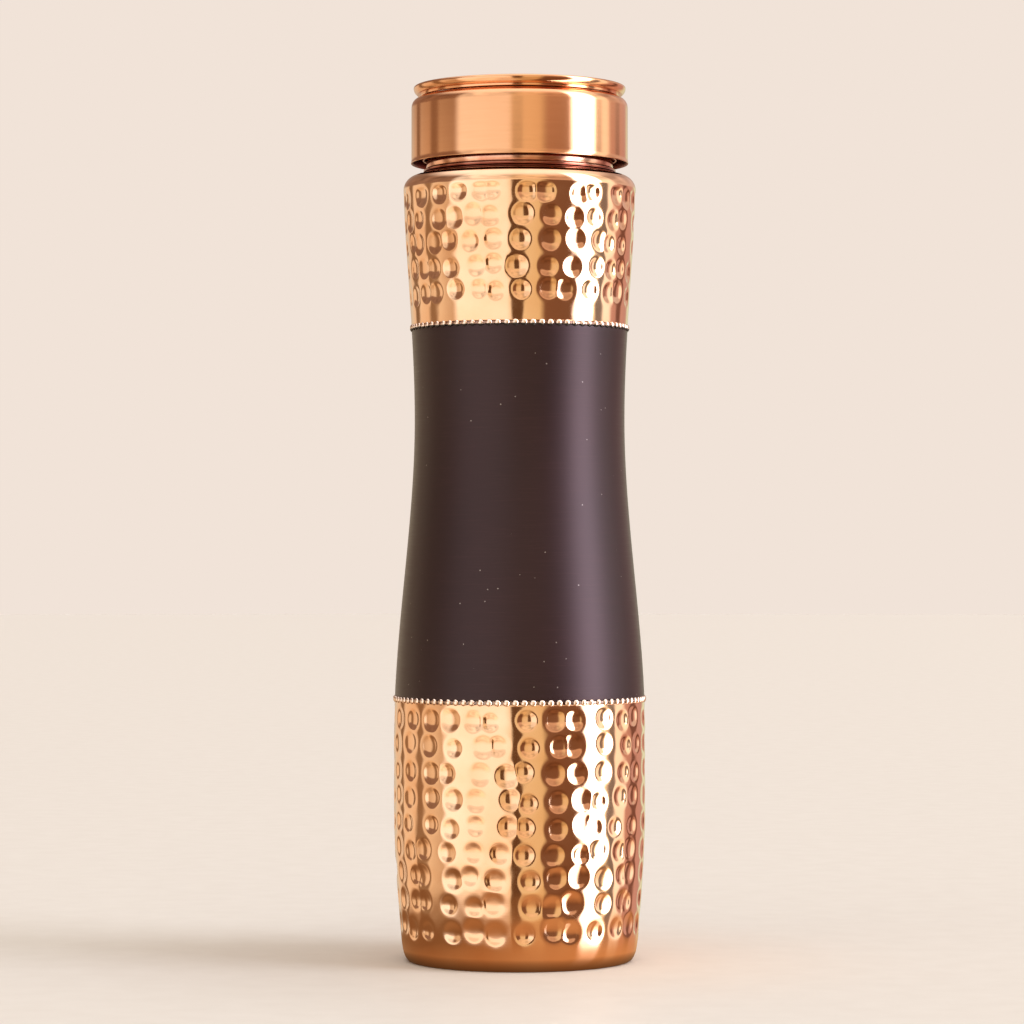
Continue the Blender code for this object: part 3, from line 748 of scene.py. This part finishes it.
half_crest = add_node(
    rolling, "ShaderNodeMath", {0: given["Crest Width"], 1: 0.5}, operation="MULTIPLY"
).outputs[0]
flank = add_node(
    rolling, "ShaderNodeMapRange", {0: beside, 1: half_crest, 2: half_root, 3: 1.0, 4: 0.0},
    interpolation_type="SMOOTHSTEP",
).outputs[0]
left = add_node(rolling, "ShaderNodeMath", {0: given["Turns"], 1: along}, operation="SUBTRACT").outputs[0]
end = add_node(rolling, "ShaderNodeMath", {0: along, 1: left}, operation="MINIMUM").outputs[0]
fade = add_node(
    rolling, "ShaderNodeMapRange", {0: end, 1: 0.0, 2: 0.12}, interpolation_type="SMOOTHSTEP"
).outputs[0]
ridge = add_node(rolling, "ShaderNodeMath", {0: flank, 1: fade}, operation="MULTIPLY").outputs[0]
ridge = add_node(rolling, "ShaderNodeMath", {0: ridge, 1: given["Depth"]}, operation="MULTIPLY").outputs[0]
flat = add_node(rolling, "ShaderNodeCombineXYZ", {0: place[0], 1: place[1]}).outputs[0]
radius = add_node(rolling, "ShaderNodeVectorMath", {0: flat}, operation="LENGTH").outputs["Value"]
walled = add_node(
    rolling, "ShaderNodeMath", {0: radius, 1: given["Least Radius"]}, operation="GREATER_THAN"
).outputs[0]
ridge = add_node(rolling, "ShaderNodeMath", {0: ridge, 1: walled}, operation="MULTIPLY").outputs[0]
outward = add_node(rolling, "ShaderNodeVectorMath", {0: flat}, operation="NORMALIZE").outputs[0]
push = add_node(rolling, "ShaderNodeVectorMath", {0: outward, "Scale": ridge}, operation="SCALE").outputs[0]
rolled = add_node(
    rolling, "GeometryNodeSetPosition", {"Geometry": given["Geometry"], "Offset": push}
).outputs[0]
rolled = add_node(rolling, "GeometryNodeRealizeInstances", {0: rolled}).outputs[0]
rolled = add_node(rolling, "GeometryNodeSetMaterial", {0: rolled, "Material": given["Finish"]}).outputs[0]
add_node(rolling, "NodeGroupOutput", {0: rolled})


def dull_copper(name, stain, detail, dark, light, gloss_ends):
    """A copper finish with stains of two colours and two glosses, and lines that run round the piece."""
    finish, tree = new_finish(name)
    place = add_node(tree, "ShaderNodeTexCoord").outputs["Object"]
    # Tool lines of 0.1 to 0.2 mm, drawn 0.5 mm wide so that they show.
    lines = lathe_lines(tree, 0.5 * MM, 2.0)
    stains = add_node(
        tree, "ShaderNodeTexNoise", {"Vector": place, "Scale": 1 / stain, "Detail": detail}
    ).outputs[0]
    tone_mix = add_node(tree, "ShaderNodeMapRange", {0: stains, 1: 0.35, 2: 0.65}).outputs[0]
    shade = add_node(tree, "ShaderNodeMix", {0: tone_mix, 6: linear(dark), 7: linear(light)}, data_type="RGBA")
    gloss = add_node(
        tree, "ShaderNodeMapRange", {0: stains, 1: 0.3, 2: 0.7, 3: gloss_ends[0], 4: gloss_ends[1]}
    )
    relief = add_node(tree, "ShaderNodeBump", {"Height": lines, "Strength": 0.2, "Distance": 0.02 * MM})
    surface = add_node(tree, "ShaderNodeBsdfPrincipled", {
        "Base Color": shade.outputs[2], "Metallic": 1.0, "Roughness": gloss.outputs[0],
        "Normal": relief.outputs[0],
    })
    add_node(tree, "ShaderNodeOutputMaterial", {"Surface": surface.outputs[0]})
    return finish


# Plain copper: as rolled and drawn, only rinsed. The eye gets a deeper red-brown than the polished
# outside, with soft stains, and drawing lines where the tools rubbed.
plain_copper = dull_copper("drawn_plain_copper", 9 * MM, 6.0, "#a8603c", "#d48a60", (0.38, 0.24))

lip_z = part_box("threaded_neck")[1].z
flange_z = shoulder_z - 0.8 * MM
NECK_RADIUS = 28.2 * MM
LIP_CURL = 0.8 * MM
THREAD_PITCH = 5.0 * MM
THREAD_START = shoulder_z + 7.34 * MM
THREAD_DEPTH = 1.4 * MM
thread = {"Pitch": THREAD_PITCH, "Root Width": 2.7 * MM, "Crest Width": 1.3 * MM, "Finish": plain_copper}


def neck_line(spacing, curl_steps):
    """The neck's outside from the mouth, over the curled lip and down to the flange's edge."""
    mouth = NECK_RADIUS - 2 * LIP_CURL
    crown = (NECK_RADIUS - LIP_CURL, lip_z)
    line = bend((mouth, lip_z - LIP_CURL), (mouth, lip_z), crown, curl_steps)
    line += bend(crown, (NECK_RADIUS, lip_z), (NECK_RADIUS, lip_z - LIP_CURL), curl_steps)[1:]
    tube_foot = flange_z + 0.6 * MM
    rows = math.ceil((line[-1][1] - tube_foot) / spacing)
    line += [(NECK_RADIUS, line[-1][1] + (tube_foot - line[-1][1]) * i / rows) for i in range(1, rows + 1)]
    line += bend((NECK_RADIUS, tube_foot), (NECK_RADIUS, flange_z), (NECK_RADIUS + 0.6 * MM, flange_z), 4)[1:]
    return line + [(NECK_RADIUS + 2.8 * MM, flange_z)]


neck = turned("threaded_neck_tube", sheet_section(neck_line(0.3 * MM, 6), neck_line(0.3 * MM, 6), WALL), 200)
run_tree(neck, rolling, {
    **thread, "Start Height": THREAD_START, "Turns": 2.25, "Depth": THREAD_DEPTH,
    "Least Radius": 27.0 * MM,
})
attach(neck, "bottle")
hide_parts("threaded_neck")


# ---- Collar ---------------------------------------------------------------------------------
# A turned copper ring slipped over the neck: a coved foot that flares out on to the shoulder, a narrow
# shelf, a fine groove and a plain band. It hides the joint between the neck and the shell.

collar_low, collar_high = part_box("neck_collar")
collar_inner = NECK_RADIUS + 0.3 * MM
collar_band = 29.4 * MM
collar_edge_z = collar_low.z + 0.3 * MM
collar_edge = 0.1 * MM
shelf_r, shelf_z = collar_band + 0.9 * MM, collar_low.z + 1.5 * MM
groove_z = shelf_z + 0.35 * MM
collar_section = [(collar_inner, collar_low.z), (collar_inner, collar_high.z - 0.15 * MM)]
collar_section.append((collar_inner + 0.15 * MM, collar_high.z))
collar_section += bend(
    (collar_band - 0.25 * MM, collar_high.z), (collar_band, collar_high.z),
    (collar_band, collar_high.z - 0.25 * MM), 5,
)
shelf_start, shelf_end = (shelf_r - 0.2 * MM, shelf_z), (shelf_r, shelf_z - 0.2 * MM)
collar_section += bend((collar_band, groove_z + 0.35 * MM), (29.05 * MM, groove_z), shelf_start, 8)
collar_section += bend(shelf_start, (shelf_r, shelf_z), shelf_end, 5)[1:]
collar_section += bend(
    shelf_end, (shelf_r - 0.15 * MM, collar_edge_z + 0.1 * MM),
    (collar_high.x - collar_edge, collar_edge_z), 10,
)[1:]
collar_section.append((collar_high.x, collar_edge_z - collar_edge))
collar_section.append((collar_high.x, collar_low.z + collar_edge))
collar_section.append((collar_high.x - collar_edge, collar_low.z))
collar = turned("neck_collar_ring", collar_section, 240)

# Red copper. The eye gets a pinkish band whose highlights are softened by fine turning lines, and below it
# a cove painted a deep blotched maroon as painted shade, for the dark that it reflects from under the cap.
red_copper, tree = new_finish("red_copper_painted_cove_shade")
place = add_node(tree, "ShaderNodeTexCoord").outputs["Object"]
# Turning lines of about 0.1 mm, drawn 0.3 mm wide so that they show.
lines = lathe_lines(tree, 0.3 * MM, 2.0)
blotch = add_node(
    tree, "ShaderNodeTexNoise", {"Vector": place, "Scale": 1 / (7 * MM), "Detail": 5.0}
).outputs[0]
tone_mix = add_node(tree, "ShaderNodeMapRange", {0: blotch, 1: 0.35, 2: 0.65}).outputs[0]
band_shade = add_node(
    tree, "ShaderNodeMix", {0: tone_mix, 6: linear("#dc9c84"), 7: linear("#f6c0a4")}, data_type="RGBA"
)
cove_painted_shade = add_node(
    tree, "ShaderNodeMix", {0: tone_mix, 6: linear("#8a4636"), 7: linear("#b06450")}, data_type="RGBA"
)
height = add_node(tree, "ShaderNodeSeparateXYZ", {0: place}).outputs[2]
# The cove below the shelf gets the dark maroon as painted shade.
above_painted_cove_shade = add_node(
    tree, "ShaderNodeMapRange", {0: height, 1: shelf_z - 0.30 * MM, 2: shelf_z - 0.15 * MM}
).outputs[0]
shade = add_node(
    tree, "ShaderNodeMix", {0: above_painted_cove_shade, 6: cove_painted_shade.outputs[2], 7: band_shade.outputs[2]}, data_type="RGBA"
)
gloss = add_node(tree, "ShaderNodeMapRange", {0: blotch, 1: 0.3, 2: 0.7, 3: 0.22, 4: 0.14})
relief = add_node(tree, "ShaderNodeBump", {"Height": lines, "Strength": 0.1, "Distance": 0.02 * MM})
surface = add_node(tree, "ShaderNodeBsdfPrincipled", {
    "Base Color": shade.outputs[2], "Metallic": 1.0, "Roughness": gloss.outputs[0],
    "Normal": relief.outputs[0],
})
add_node(tree, "ShaderNodeOutputMaterial", {"Surface": surface.outputs[0]})

collar.data.materials.append(red_copper)
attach(collar, "bottle")
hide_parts("neck_collar")


# ---- Seal -----------------------------------------------------------------------------------
# A flat ring of moulded food-grade silicone that lies in the cap and is squeezed on to the lip. It has
# rounded edges and two shallow sealing ridges on each face, as moulded gaskets do.

seal_low, seal_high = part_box("seal_ring")
SEAL_WIDTH = 4.0 * MM
seal_inner = seal_high.x - SEAL_WIDTH
seal_edge = 0.35 * MM


def seal_face(side):
    """One face of the ring from its inner to its outer edge: a shallow field with two ridges."""
    points = []
    for i in range(25):
        share = i / 24
        ridge = max(math.exp(-((share - spot) / 0.09) ** 2) for spot in (0.3, 0.7))
        sunk = 0.18 * MM * (1 - ridge) * min(1.0, 12 * share, 12 * (1 - share))
        across = seal_inner + seal_edge + share * (SEAL_WIDTH - 2 * seal_edge)
        points.append((across, seal_high.z - sunk if side > 0 else seal_low.z + sunk))
    return points


seal_mid = (seal_inner + seal_high.x) / 2


def seal_corner(side_r, side_z):
    """The rounded corner where one side of the ring meets one of its faces."""
    in_r = side_r + math.copysign(seal_edge, seal_mid - side_r)
    in_z = side_z + math.copysign(seal_edge, (seal_low.z + seal_high.z) / 2 - side_z)
    return bend((in_r, side_z), (side_r, side_z), (side_r, in_z), 4)


seal_section = seal_face(1)
seal_section += seal_corner(seal_high.x, seal_high.z)[1:]
seal_section += seal_corner(seal_high.x, seal_low.z)[::-1]
seal_section += seal_face(-1)[::-1][1:]
seal_section += seal_corner(seal_inner, seal_low.z)[1:]
seal_section += seal_corner(seal_inner, seal_high.z)[::-1][:-1]
seal = turned("silicone_seal", seal_section, 160)

# Silicone: moulded in a fine-blasted mould, milky and soft. The eye gets a dull white skin that light
# sinks into a little, with faint flow clouds and a fine even grain.
silicone, tree = new_finish("moulded_milky_silicone")
place = add_node(tree, "ShaderNodeTexCoord").outputs["Object"]
clouds = add_node(
    tree, "ShaderNodeTexNoise", {"Vector": place, "Scale": 1 / (8 * MM), "Detail": 3.0}
).outputs[0]
grain = add_node(
    tree, "ShaderNodeTexNoise", {"Vector": place, "Scale": 1 / (0.4 * MM), "Detail": 2.0}
).outputs[0]
shade = add_node(
    tree, "ShaderNodeMix", {0: clouds, 6: linear("#dcdad2"), 7: linear("#eceae4")}, data_type="RGBA"
)
gloss = add_node(tree, "ShaderNodeMapRange", {0: grain, 3: 0.42, 4: 0.58})
relief = add_node(tree, "ShaderNodeBump", {"Height": grain, "Strength": 0.2, "Distance": 0.03 * MM})
surface = add_node(tree, "ShaderNodeBsdfPrincipled", {
    "Base Color": shade.outputs[2], "Roughness": gloss.outputs[0], "IOR": 1.41,
    "Normal": relief.outputs[0], "Subsurface Weight": 0.3, "Subsurface Scale": 1.0 * MM,
})
add_node(tree, "ShaderNodeOutputMaterial", {"Surface": surface.outputs[0]})
seal.data.materials.append(silicone)
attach(seal, "seal")
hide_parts("seal_ring")


# ---- Cap: threaded cup ----------------------------------------------------------------------
# A drawn copper cup inside the cap, soldered under its top. The thread is rolled into its wall from
# outside, so it stands in on the inside and runs on the neck's thread.

cup_low, cup_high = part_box("cap_thread_cup")
cup_radius = 30.6 * MM


def cup_line(spacing, corner_steps):
    """The cup's outside from the middle of its top, over its corner and down to its rim."""
    line = [(0.0, cup_high.z), (15.0 * MM, cup_high.z)]
    corner = (cup_radius, cup_high.z)
    before, after = (cup_radius - 0.5 * MM, cup_high.z), (cup_radius, cup_high.z - 0.5 * MM)
    line += bend(before, corner, after, corner_steps)
    rows = math.ceil((line[-1][1] - cup_low.z) / spacing)
    start = line[-1][1]
    return line + [(cup_radius, start + (cup_low.z - start) * i / rows) for i in range(1, rows + 1)]


cup = turned("cap_threaded_cup", sheet_section(cup_line(0.3 * MM, 5), cup_line(0.3 * MM, 1), WALL), 200)
# The cup's thread lies half a pitch above the neck's, in the middle of the gap between its turns.
run_tree(cup, rolling, {
    **thread, "Start Height": THREAD_START + THREAD_PITCH / 2, "Turns": 1.75, "Depth": -THREAD_DEPTH,
    "Least Radius": 29.5 * MM,
})
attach(cup, "cap")
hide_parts("cap_thread_cup")


# ---- Cap: skirt -----------------------------------------------------------------------------
# The cap's outer shell: sheet spun to a straight skirt with a fine flared lip, a rounded top edge and
# a ledge turned in to carry the top disc. It is turned satin outside and left as spun inside, where it is
# painted a dark maroon as painted shade.

skirt_low, skirt_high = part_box("cap_skirt")
skirt_radius = skirt_high.x - 0.25 * MM
ledge_radius = skirt_radius - 2.9 * MM


def skirt_line(corner_steps, lip_steps):
    """The skirt's outside from the ledge's inner edge, over the top and down to the lip."""
    pull = (skirt_radius, skirt_high.z - 0.5 * MM)
    line = [(ledge_radius - 4.7 * MM, skirt_high.z)]
    line += bend((ledge_radius, skirt_high.z), pull, (skirt_radius, skirt_high.z - 3.4 * MM), corner_steps)
    lip_top = (skirt_radius, skirt_low.z + 1.5 * MM)
    lip = (skirt_high.x, skirt_low.z)
    line += bend(lip_top, (skirt_radius, skirt_low.z + 0.5 * MM), lip, lip_steps)
    return line


skirt = turned("cap_skirt_shell", sheet_section(skirt_line(16, 6), skirt_line(6, 2), WALL), 320)

# Maroon copper: the skirt's inside is never polished, and its dark maroon is painted shade for the dark
# inside the cap. The eye gets a dull maroon, clouded lighter where it was rubbed, with the marks of the
# spinning tool running round it.
painted_shade_copper = dull_copper("maroon_copper_painted_shade", 6 * MM, 5.0, "#74362a", "#9a5040", (0.42, 0.32))

skirt.data.materials.append(satin_copper)
skirt.data.materials.append(painted_shade_copper)
# Faces that look into the cap or down from its lip get the maroon painted shade.
for face in skirt.data.polygons:
    facing_in = face.normal.x * face.center.x + face.normal.y * face.center.y < 0
    face.material_index = int(facing_in or face.normal.z < -0.7)
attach(skirt, "cap")
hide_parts("cap_skirt")


# ---- Cap: top disc --------------------------------------------------------------------------
# A shallow disc with a rolled rim that overhangs a fine groove above the skirt. It is spun from sheet
# and turned satin like the skirt.

top_low, top_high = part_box("cap_top_disc")
top_radius = top_high.x
groove_top_z = top_low.z + 0.7 * MM


def top_line(steps):
    """The disc's outside from its middle, up and over the rolled rim and in to the spigot."""
    dish_z = top_high.z - 0.6 * MM
    roll = top_radius - 2.4 * MM
    crown = (top_radius - 0.9 * MM, top_high.z)
    line = [(0.0, dish_z), (12.0 * MM, dish_z)]
    line += bend((roll - 1.4 * MM, dish_z), (roll - 0.3 * MM, dish_z), (roll, top_high.z - 0.2 * MM), steps)
    line += bend(line[-1], (roll + 0.15 * MM, top_high.z), (roll + 0.7 * MM, top_high.z), steps)[1:]
    line += bend(crown, (top_radius, top_high.z), (top_radius, dish_z - 0.1 * MM), steps)
    foot = (top_radius - 0.8 * MM, groove_top_z + 0.25 * MM)
    line += bend(line[-1], (top_radius, groove_top_z + 0.9 * MM), foot, steps)[1:]
    line += bend(foot, (foot[0] - 0.15 * MM, groove_top_z), (foot[0] - 0.5 * MM, groove_top_z), steps)[1:]
    return line


top_outer = top_line(6) + [(ledge_radius, groove_top_z), (ledge_radius, top_low.z)]
top_core = top_line(3) + [(ledge_radius, groove_top_z), (ledge_radius, top_low.z)]
top_disc = turned("cap_top_rolled_disc", sheet_section(top_outer, top_core, WALL), 320)
top_disc.data.materials.append(satin_copper)
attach(top_disc, "cap")
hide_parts("cap_top_disc")


# ---- Table and studio -----------------------------------------------------------------------
# A plain pale table and a plain backdrop. The bottle is a mirror, so the light comes from a ring of
# soft panels all round it: a wide one on the left, a strip on the right, and dark gaps between.

def disc(name, radius):
    """A flat round of the stage at table height."""
    bpy.ops.mesh.primitive_circle_add(vertices=96, radius=radius, fill_type="NGON")
    made = bpy.context.active_object
    made.name = name
    return made


table = disc("pale_table", 6.0)
table.visible_glossy = False
table_top, tree = new_finish("matt_pale_table_top")
place = add_node(tree, "ShaderNodeTexCoord").outputs["Object"]
fleck = add_node(
    tree, "ShaderNodeTexNoise", {"Vector": place, "Scale": 1 / (12 * MM), "Detail": 6.0}
).outputs[0]
shade = add_node(
    tree, "ShaderNodeMix", {0: fleck, 6: linear("#d9d3ca"), 7: linear("#e2ddd5")}, data_type="RGBA"
)
surface = add_node(tree, "ShaderNodeBsdfPrincipled", {"Base Color": shade.outputs[2], "Roughness": 0.55})
add_node(tree, "ShaderNodeOutputMaterial", {"Surface": surface.outputs[0]})
table.data.materials.append(table_top)

# A warm card under the bottle, seen only in its polish: a painted reflection of a warm table. It is dimmer
# to the left as painted shade, dark close to the foot as the bottle's painted shadow, and its edge fades
# away.
CARD_SHIFT = 0.025  # the card's middle lies this far to the left
card = disc("warm_reflecting_card", 0.5)
card.visible_camera = False
card.visible_diffuse = False
card.visible_shadow = False
card_face, tree = new_finish("warm_card")
place = add_node(tree, "ShaderNodeTexCoord").outputs["Object"]
reach = add_node(tree, "ShaderNodeVectorMath", {0: place}, operation="LENGTH").outputs["Value"]
moved = add_node(
    tree, "ShaderNodeVectorMath", {0: place, 1: (CARD_SHIFT, 0.0, 0.0)}, operation="ADD"
).outputs[0]
spread = add_node(tree, "ShaderNodeVectorMath", {0: moved}, operation="LENGTH").outputs["Value"]
faded = add_node(
    tree, "ShaderNodeMapRange", {0: spread, 1: 0.052, 2: 0.155}, interpolation_type="SMOOTHSTEP"
)
grain = add_node(tree, "ShaderNodeTexNoise", {"Vector": place, "Scale": 9.0, "Detail": 5.0}).outputs[0]
shade = add_node(
    tree, "ShaderNodeMix", {0: grain, 6: linear("#a9774e"), 7: linear("#d39e6c")}, data_type="RGBA"
)
leftward = add_node(tree, "ShaderNodeSeparateXYZ", {0: place}).outputs[0]
# Painted shade: the card is dimmer to the left.
dimmed = add_node(tree, "ShaderNodeMapRange", {0: leftward, 1: -0.06, 2: 0.05, 3: 0.50, 4: 1.40}).outputs[0]
# Painted shadow of the bottle: the card goes dark close to its foot.
shaded = add_node(tree, "ShaderNodeMapRange", {0: reach, 1: 0.034, 2: 0.045, 3: 0.15, 4: 1.0}).outputs[0]
dimmed = add_node(tree, "ShaderNodeMath", {0: dimmed, 1: shaded}, operation="MULTIPLY").outputs[0]
glow = add_node(tree, "ShaderNodeEmission", {"Color": shade.outputs[2], "Strength": dimmed})
clear = add_node(tree, "ShaderNodeBsdfTransparent")
edge = add_node(tree, "ShaderNodeMixShader", {0: faded.outputs[0], 1: glow.outputs[0], 2: clear.outputs[0]})
add_node(tree, "ShaderNodeOutputMaterial", {"Surface": edge.outputs[0]})
card.data.materials.append(card_face)

studio = bpy.data.worlds.new("soft_studio")
bpy.context.scene.world = studio
studio.use_nodes = True
tree = studio.node_tree
tree.nodes.clear()
way = add_node(tree, "ShaderNodeTexCoord").outputs["Generated"]
axes = add_node(tree, "ShaderNodeSeparateXYZ", {0: way}).outputs
front = add_node(tree, "ShaderNodeMath", {0: axes[1], 1: -1.0}, operation="MULTIPLY").outputs[0]
around = add_node(tree, "ShaderNodeMath", {0: axes[0], 1: front}, operation="ARCTAN2").outputs[0]
around = add_node(
    tree, "ShaderNodeMath", {0: around, 1: 1 / (2 * math.pi), 2: 0.5}, operation="MULTIPLY_ADD"
).outputs[0]
BRIGHTEST = 8.0  # the ring's colours are kept below 1 by this, and scaled up again after it


def panel_light(colour, brightness):
    """Linear colour of a lit panel."""
    return (*(channel * brightness for channel in linear(colour)[:3]), 1.0)


def panel_ring(tree, around, panel_stops):
    """Colour of a ring of panels, from (degrees round from the front towards +X, brightness, colour)."""
    panels = add_node(tree, "ShaderNodeValToRGB", {0: around})
    stops = panels.color_ramp.elements
    while len(stops) < len(panel_stops):
        stops.new(0.5)
    for stop, (degrees, brightness, colour) in zip(stops, panel_stops):
        stop.position = (degrees + 180) / 360
        stop.color = panel_light(colour, brightness / BRIGHTEST)
    return add_node(
        tree, "ShaderNodeVectorMath", {0: panels.outputs[0], "Scale": BRIGHTEST}, operation="SCALE"
    ).outputs[0]


# One ring of panels stands at the level of the body, and another above it lights the cap.
low_panels = panel_ring(tree, around, [
    (-180, 0.55, "#ffe4c8"), (-158, 0.80, "#ffeccc"), (-144, 0.90, "#ffe2bf"), (-140, 0.26, "#ffd0a0"),
    (-134, 0.28, "#ffd0a0"), (-130, 0.98, "#ffe8c8"), (-112, 0.92, "#ffe2bf"), (-107, 0.32, "#ffd0a0"),
    (-99, 0.34, "#ffd0a0"), (-94, 0.95, "#ffe8c8"), (-74, 0.72, "#ffe2bf"), (-68, 1.45, "#fffbf4"),
    (-13, 1.35, "#fff8ee"), (-6, 0.98, "#ffeec8"), (21, 0.88, "#ffe6b4"), (27, 0.24, "#ffbc90"),
    (57, 0.22, "#ffbc90"), (64, 8.0, "#f2f4ff"), (80, 8.0, "#f2f4ff"), (84, 1.3, "#fff6dc"),
    (88, 0.35, "#e8dcd8"), (96, 0.35, "#e8dcd8"), (99, 1.4, "#fffaf0"), (108, 1.3, "#fffaf0"),
    (114, 0.66, "#ffc8bc"), (121, 0.60, "#ffc8bc"), (125, 0.22, "#ffb8a4"), (131, 0.22, "#ffb8a4"),
    (135, 0.66, "#ffc8bc"), (150, 0.60, "#ffc8bc"), (160, 0.9, "#f4ffd8"), (180, 0.55, "#ffe4c8"),
])
high_panels = panel_ring(tree, around, [
    (-180, 0.45, "#ffdcc6"), (-150, 0.30, "#ffcfb0"), (-73, 0.31, "#ffcfb0"), (-66, 1.15, "#fffaf2"),
    (-12, 1.10, "#fff4e4"), (-7, 0.98, "#ffe8c4"), (26, 0.92, "#ffe2bc"), (31, 0.76, "#ffd3b3"),
    (54, 0.68, "#ffd3b3"), (61, 8.0, "#f2f4ff"), (85, 8.0, "#f2f4ff"), (90, 1.5, "#fff8ec"),
    (107, 1.4, "#fff8ec"), (112, 0.80, "#ffe7dc"), (160, 0.70, "#ffe0d4"), (180, 0.45, "#ffdcc6"),
])
# From here on, heights are sines of the angle above the level.
high = add_node(
    tree, "ShaderNodeMapRange", {0: axes[2], 1: 0.090, 2: 0.165}, interpolation_type="SMOOTHSTEP"
).outputs[0]
ring = add_node(
    tree, "ShaderNodeMix", {0: high, 6: low_panels, 7: high_panels}, data_type="RGBA"
).outputs[2]
# Whoever works the camera stands before the bottle as a narrow dark shape, up to just above its neck.
FIGURE_TURN = 2.5 / 360  # to the left of the front
beside = add_node(tree, "ShaderNodeMath", {0: around, 1: 0.5 - FIGURE_TURN}, operation="SUBTRACT").outputs[0]
beside = add_node(tree, "ShaderNodeMath", {0: beside}, operation="ABSOLUTE").outputs[0]
narrow = add_node(
    tree, "ShaderNodeMapRange", {0: beside, 1: 4.5 / 360, 2: 6.5 / 360, 3: 1.0, 4: 0.0}
).outputs[0]
below = add_node(tree, "ShaderNodeMapRange", {0: axes[2], 1: 0.100, 2: 0.107, 3: 1.0, 4: 0.0}).outputs[0]
above = add_node(tree, "ShaderNodeMapRange", {0: axes[2], 1: -0.70, 2: -0.35}).outputs[0]
figure = add_node(tree, "ShaderNodeMath", {0: narrow, 1: below}, operation="MULTIPLY").outputs[0]
figure = add_node(tree, "ShaderNodeMath", {0: figure, 1: above}, operation="MULTIPLY").outputs[0]
ring = add_node(
    tree, "ShaderNodeMix", {0: figure, 6: ring, 7: linear("#6c5038")}, data_type="RGBA"
).outputs[2]
# Away from the level of the bottle the panels are broken up softly, and below it they lie in warm shade.
mottle = add_node(tree, "ShaderNodeTexNoise", {"Vector": way, "Scale": 3.2, "Detail": 1.0}).outputs[0]
mottle = add_node(tree, "ShaderNodeMapRange", {0: mottle, 1: 0.35, 2: 0.65, 3: 0.65, 4: 1.2}).outputs[0]
slope = add_node(tree, "ShaderNodeMath", {0: axes[2]}, operation="ABSOLUTE").outputs[0]
slope = add_node(
    tree, "ShaderNodeMapRange", {0: slope, 1: 0.14, 2: 0.42}, interpolation_type="SMOOTHSTEP"
).outputs[0]
broken = add_node(tree, "ShaderNodeMix", {0: slope, 2: 1.0, 3: mottle}, data_type="FLOAT").outputs[0]
ring = add_node(tree, "ShaderNodeVectorMath", {0: ring, "Scale": broken}, operation="SCALE").outputs[0]
under = add_node(
    tree, "ShaderNodeMapRange", {0: axes[2], 1: -0.10, 2: -0.35}, interpolation_type="SMOOTHSTEP"
).outputs[0]
shaded = add_node(
    tree, "ShaderNodeVectorMath", {0: ring, 1: linear("#f7e9d7")[:3]}, operation="MULTIPLY"
).outputs[0]
ring = add_node(tree, "ShaderNodeMix", {0: under, 6: ring, 7: shaded}, data_type="RGBA").outputs[2]
upward = add_node(
    tree, "ShaderNodeMapRange", {0: axes[2], 1: 0.55, 2: 0.90}, interpolation_type="SMOOTHSTEP"
).outputs[0]
lit = add_node(
    tree, "ShaderNodeMix", {0: upward, 6: ring, 7: panel_light("#fffbf7", 1.5)}, data_type="RGBA"
).outputs[2]
seen = add_node(tree, "ShaderNodeLightPath").outputs["Is Camera Ray"]
# The camera itself sees a plain backdrop in the colour that the table has in this light.
backdrop = add_node(
    tree, "ShaderNodeMix", {0: seen, 6: lit, 7: linear("#f1e3d8")}, data_type="RGBA"
).outputs[2]
light = add_node(tree, "ShaderNodeBackground", {"Color": backdrop, "Strength": 1.0})
add_node(tree, "ShaderNodeOutputWorld", {"Surface": light.outputs[0]})

lens = bpy.data.cameras.new("studio_camera")
lens.lens = 128.3
lens.sensor_width = 36.0
lens.clip_end = 50.0
camera = bpy.data.objects.new("studio_camera", lens)
bpy.context.scene.collection.objects.link(camera)
camera.location = (-0.0024, -1.15, 0.1297)
camera.rotation_euler = (math.radians(90.56), 0.0, 0.0)
bpy.context.scene.camera = camera
bpy.context.scene.view_settings.view_transform = "Standard"
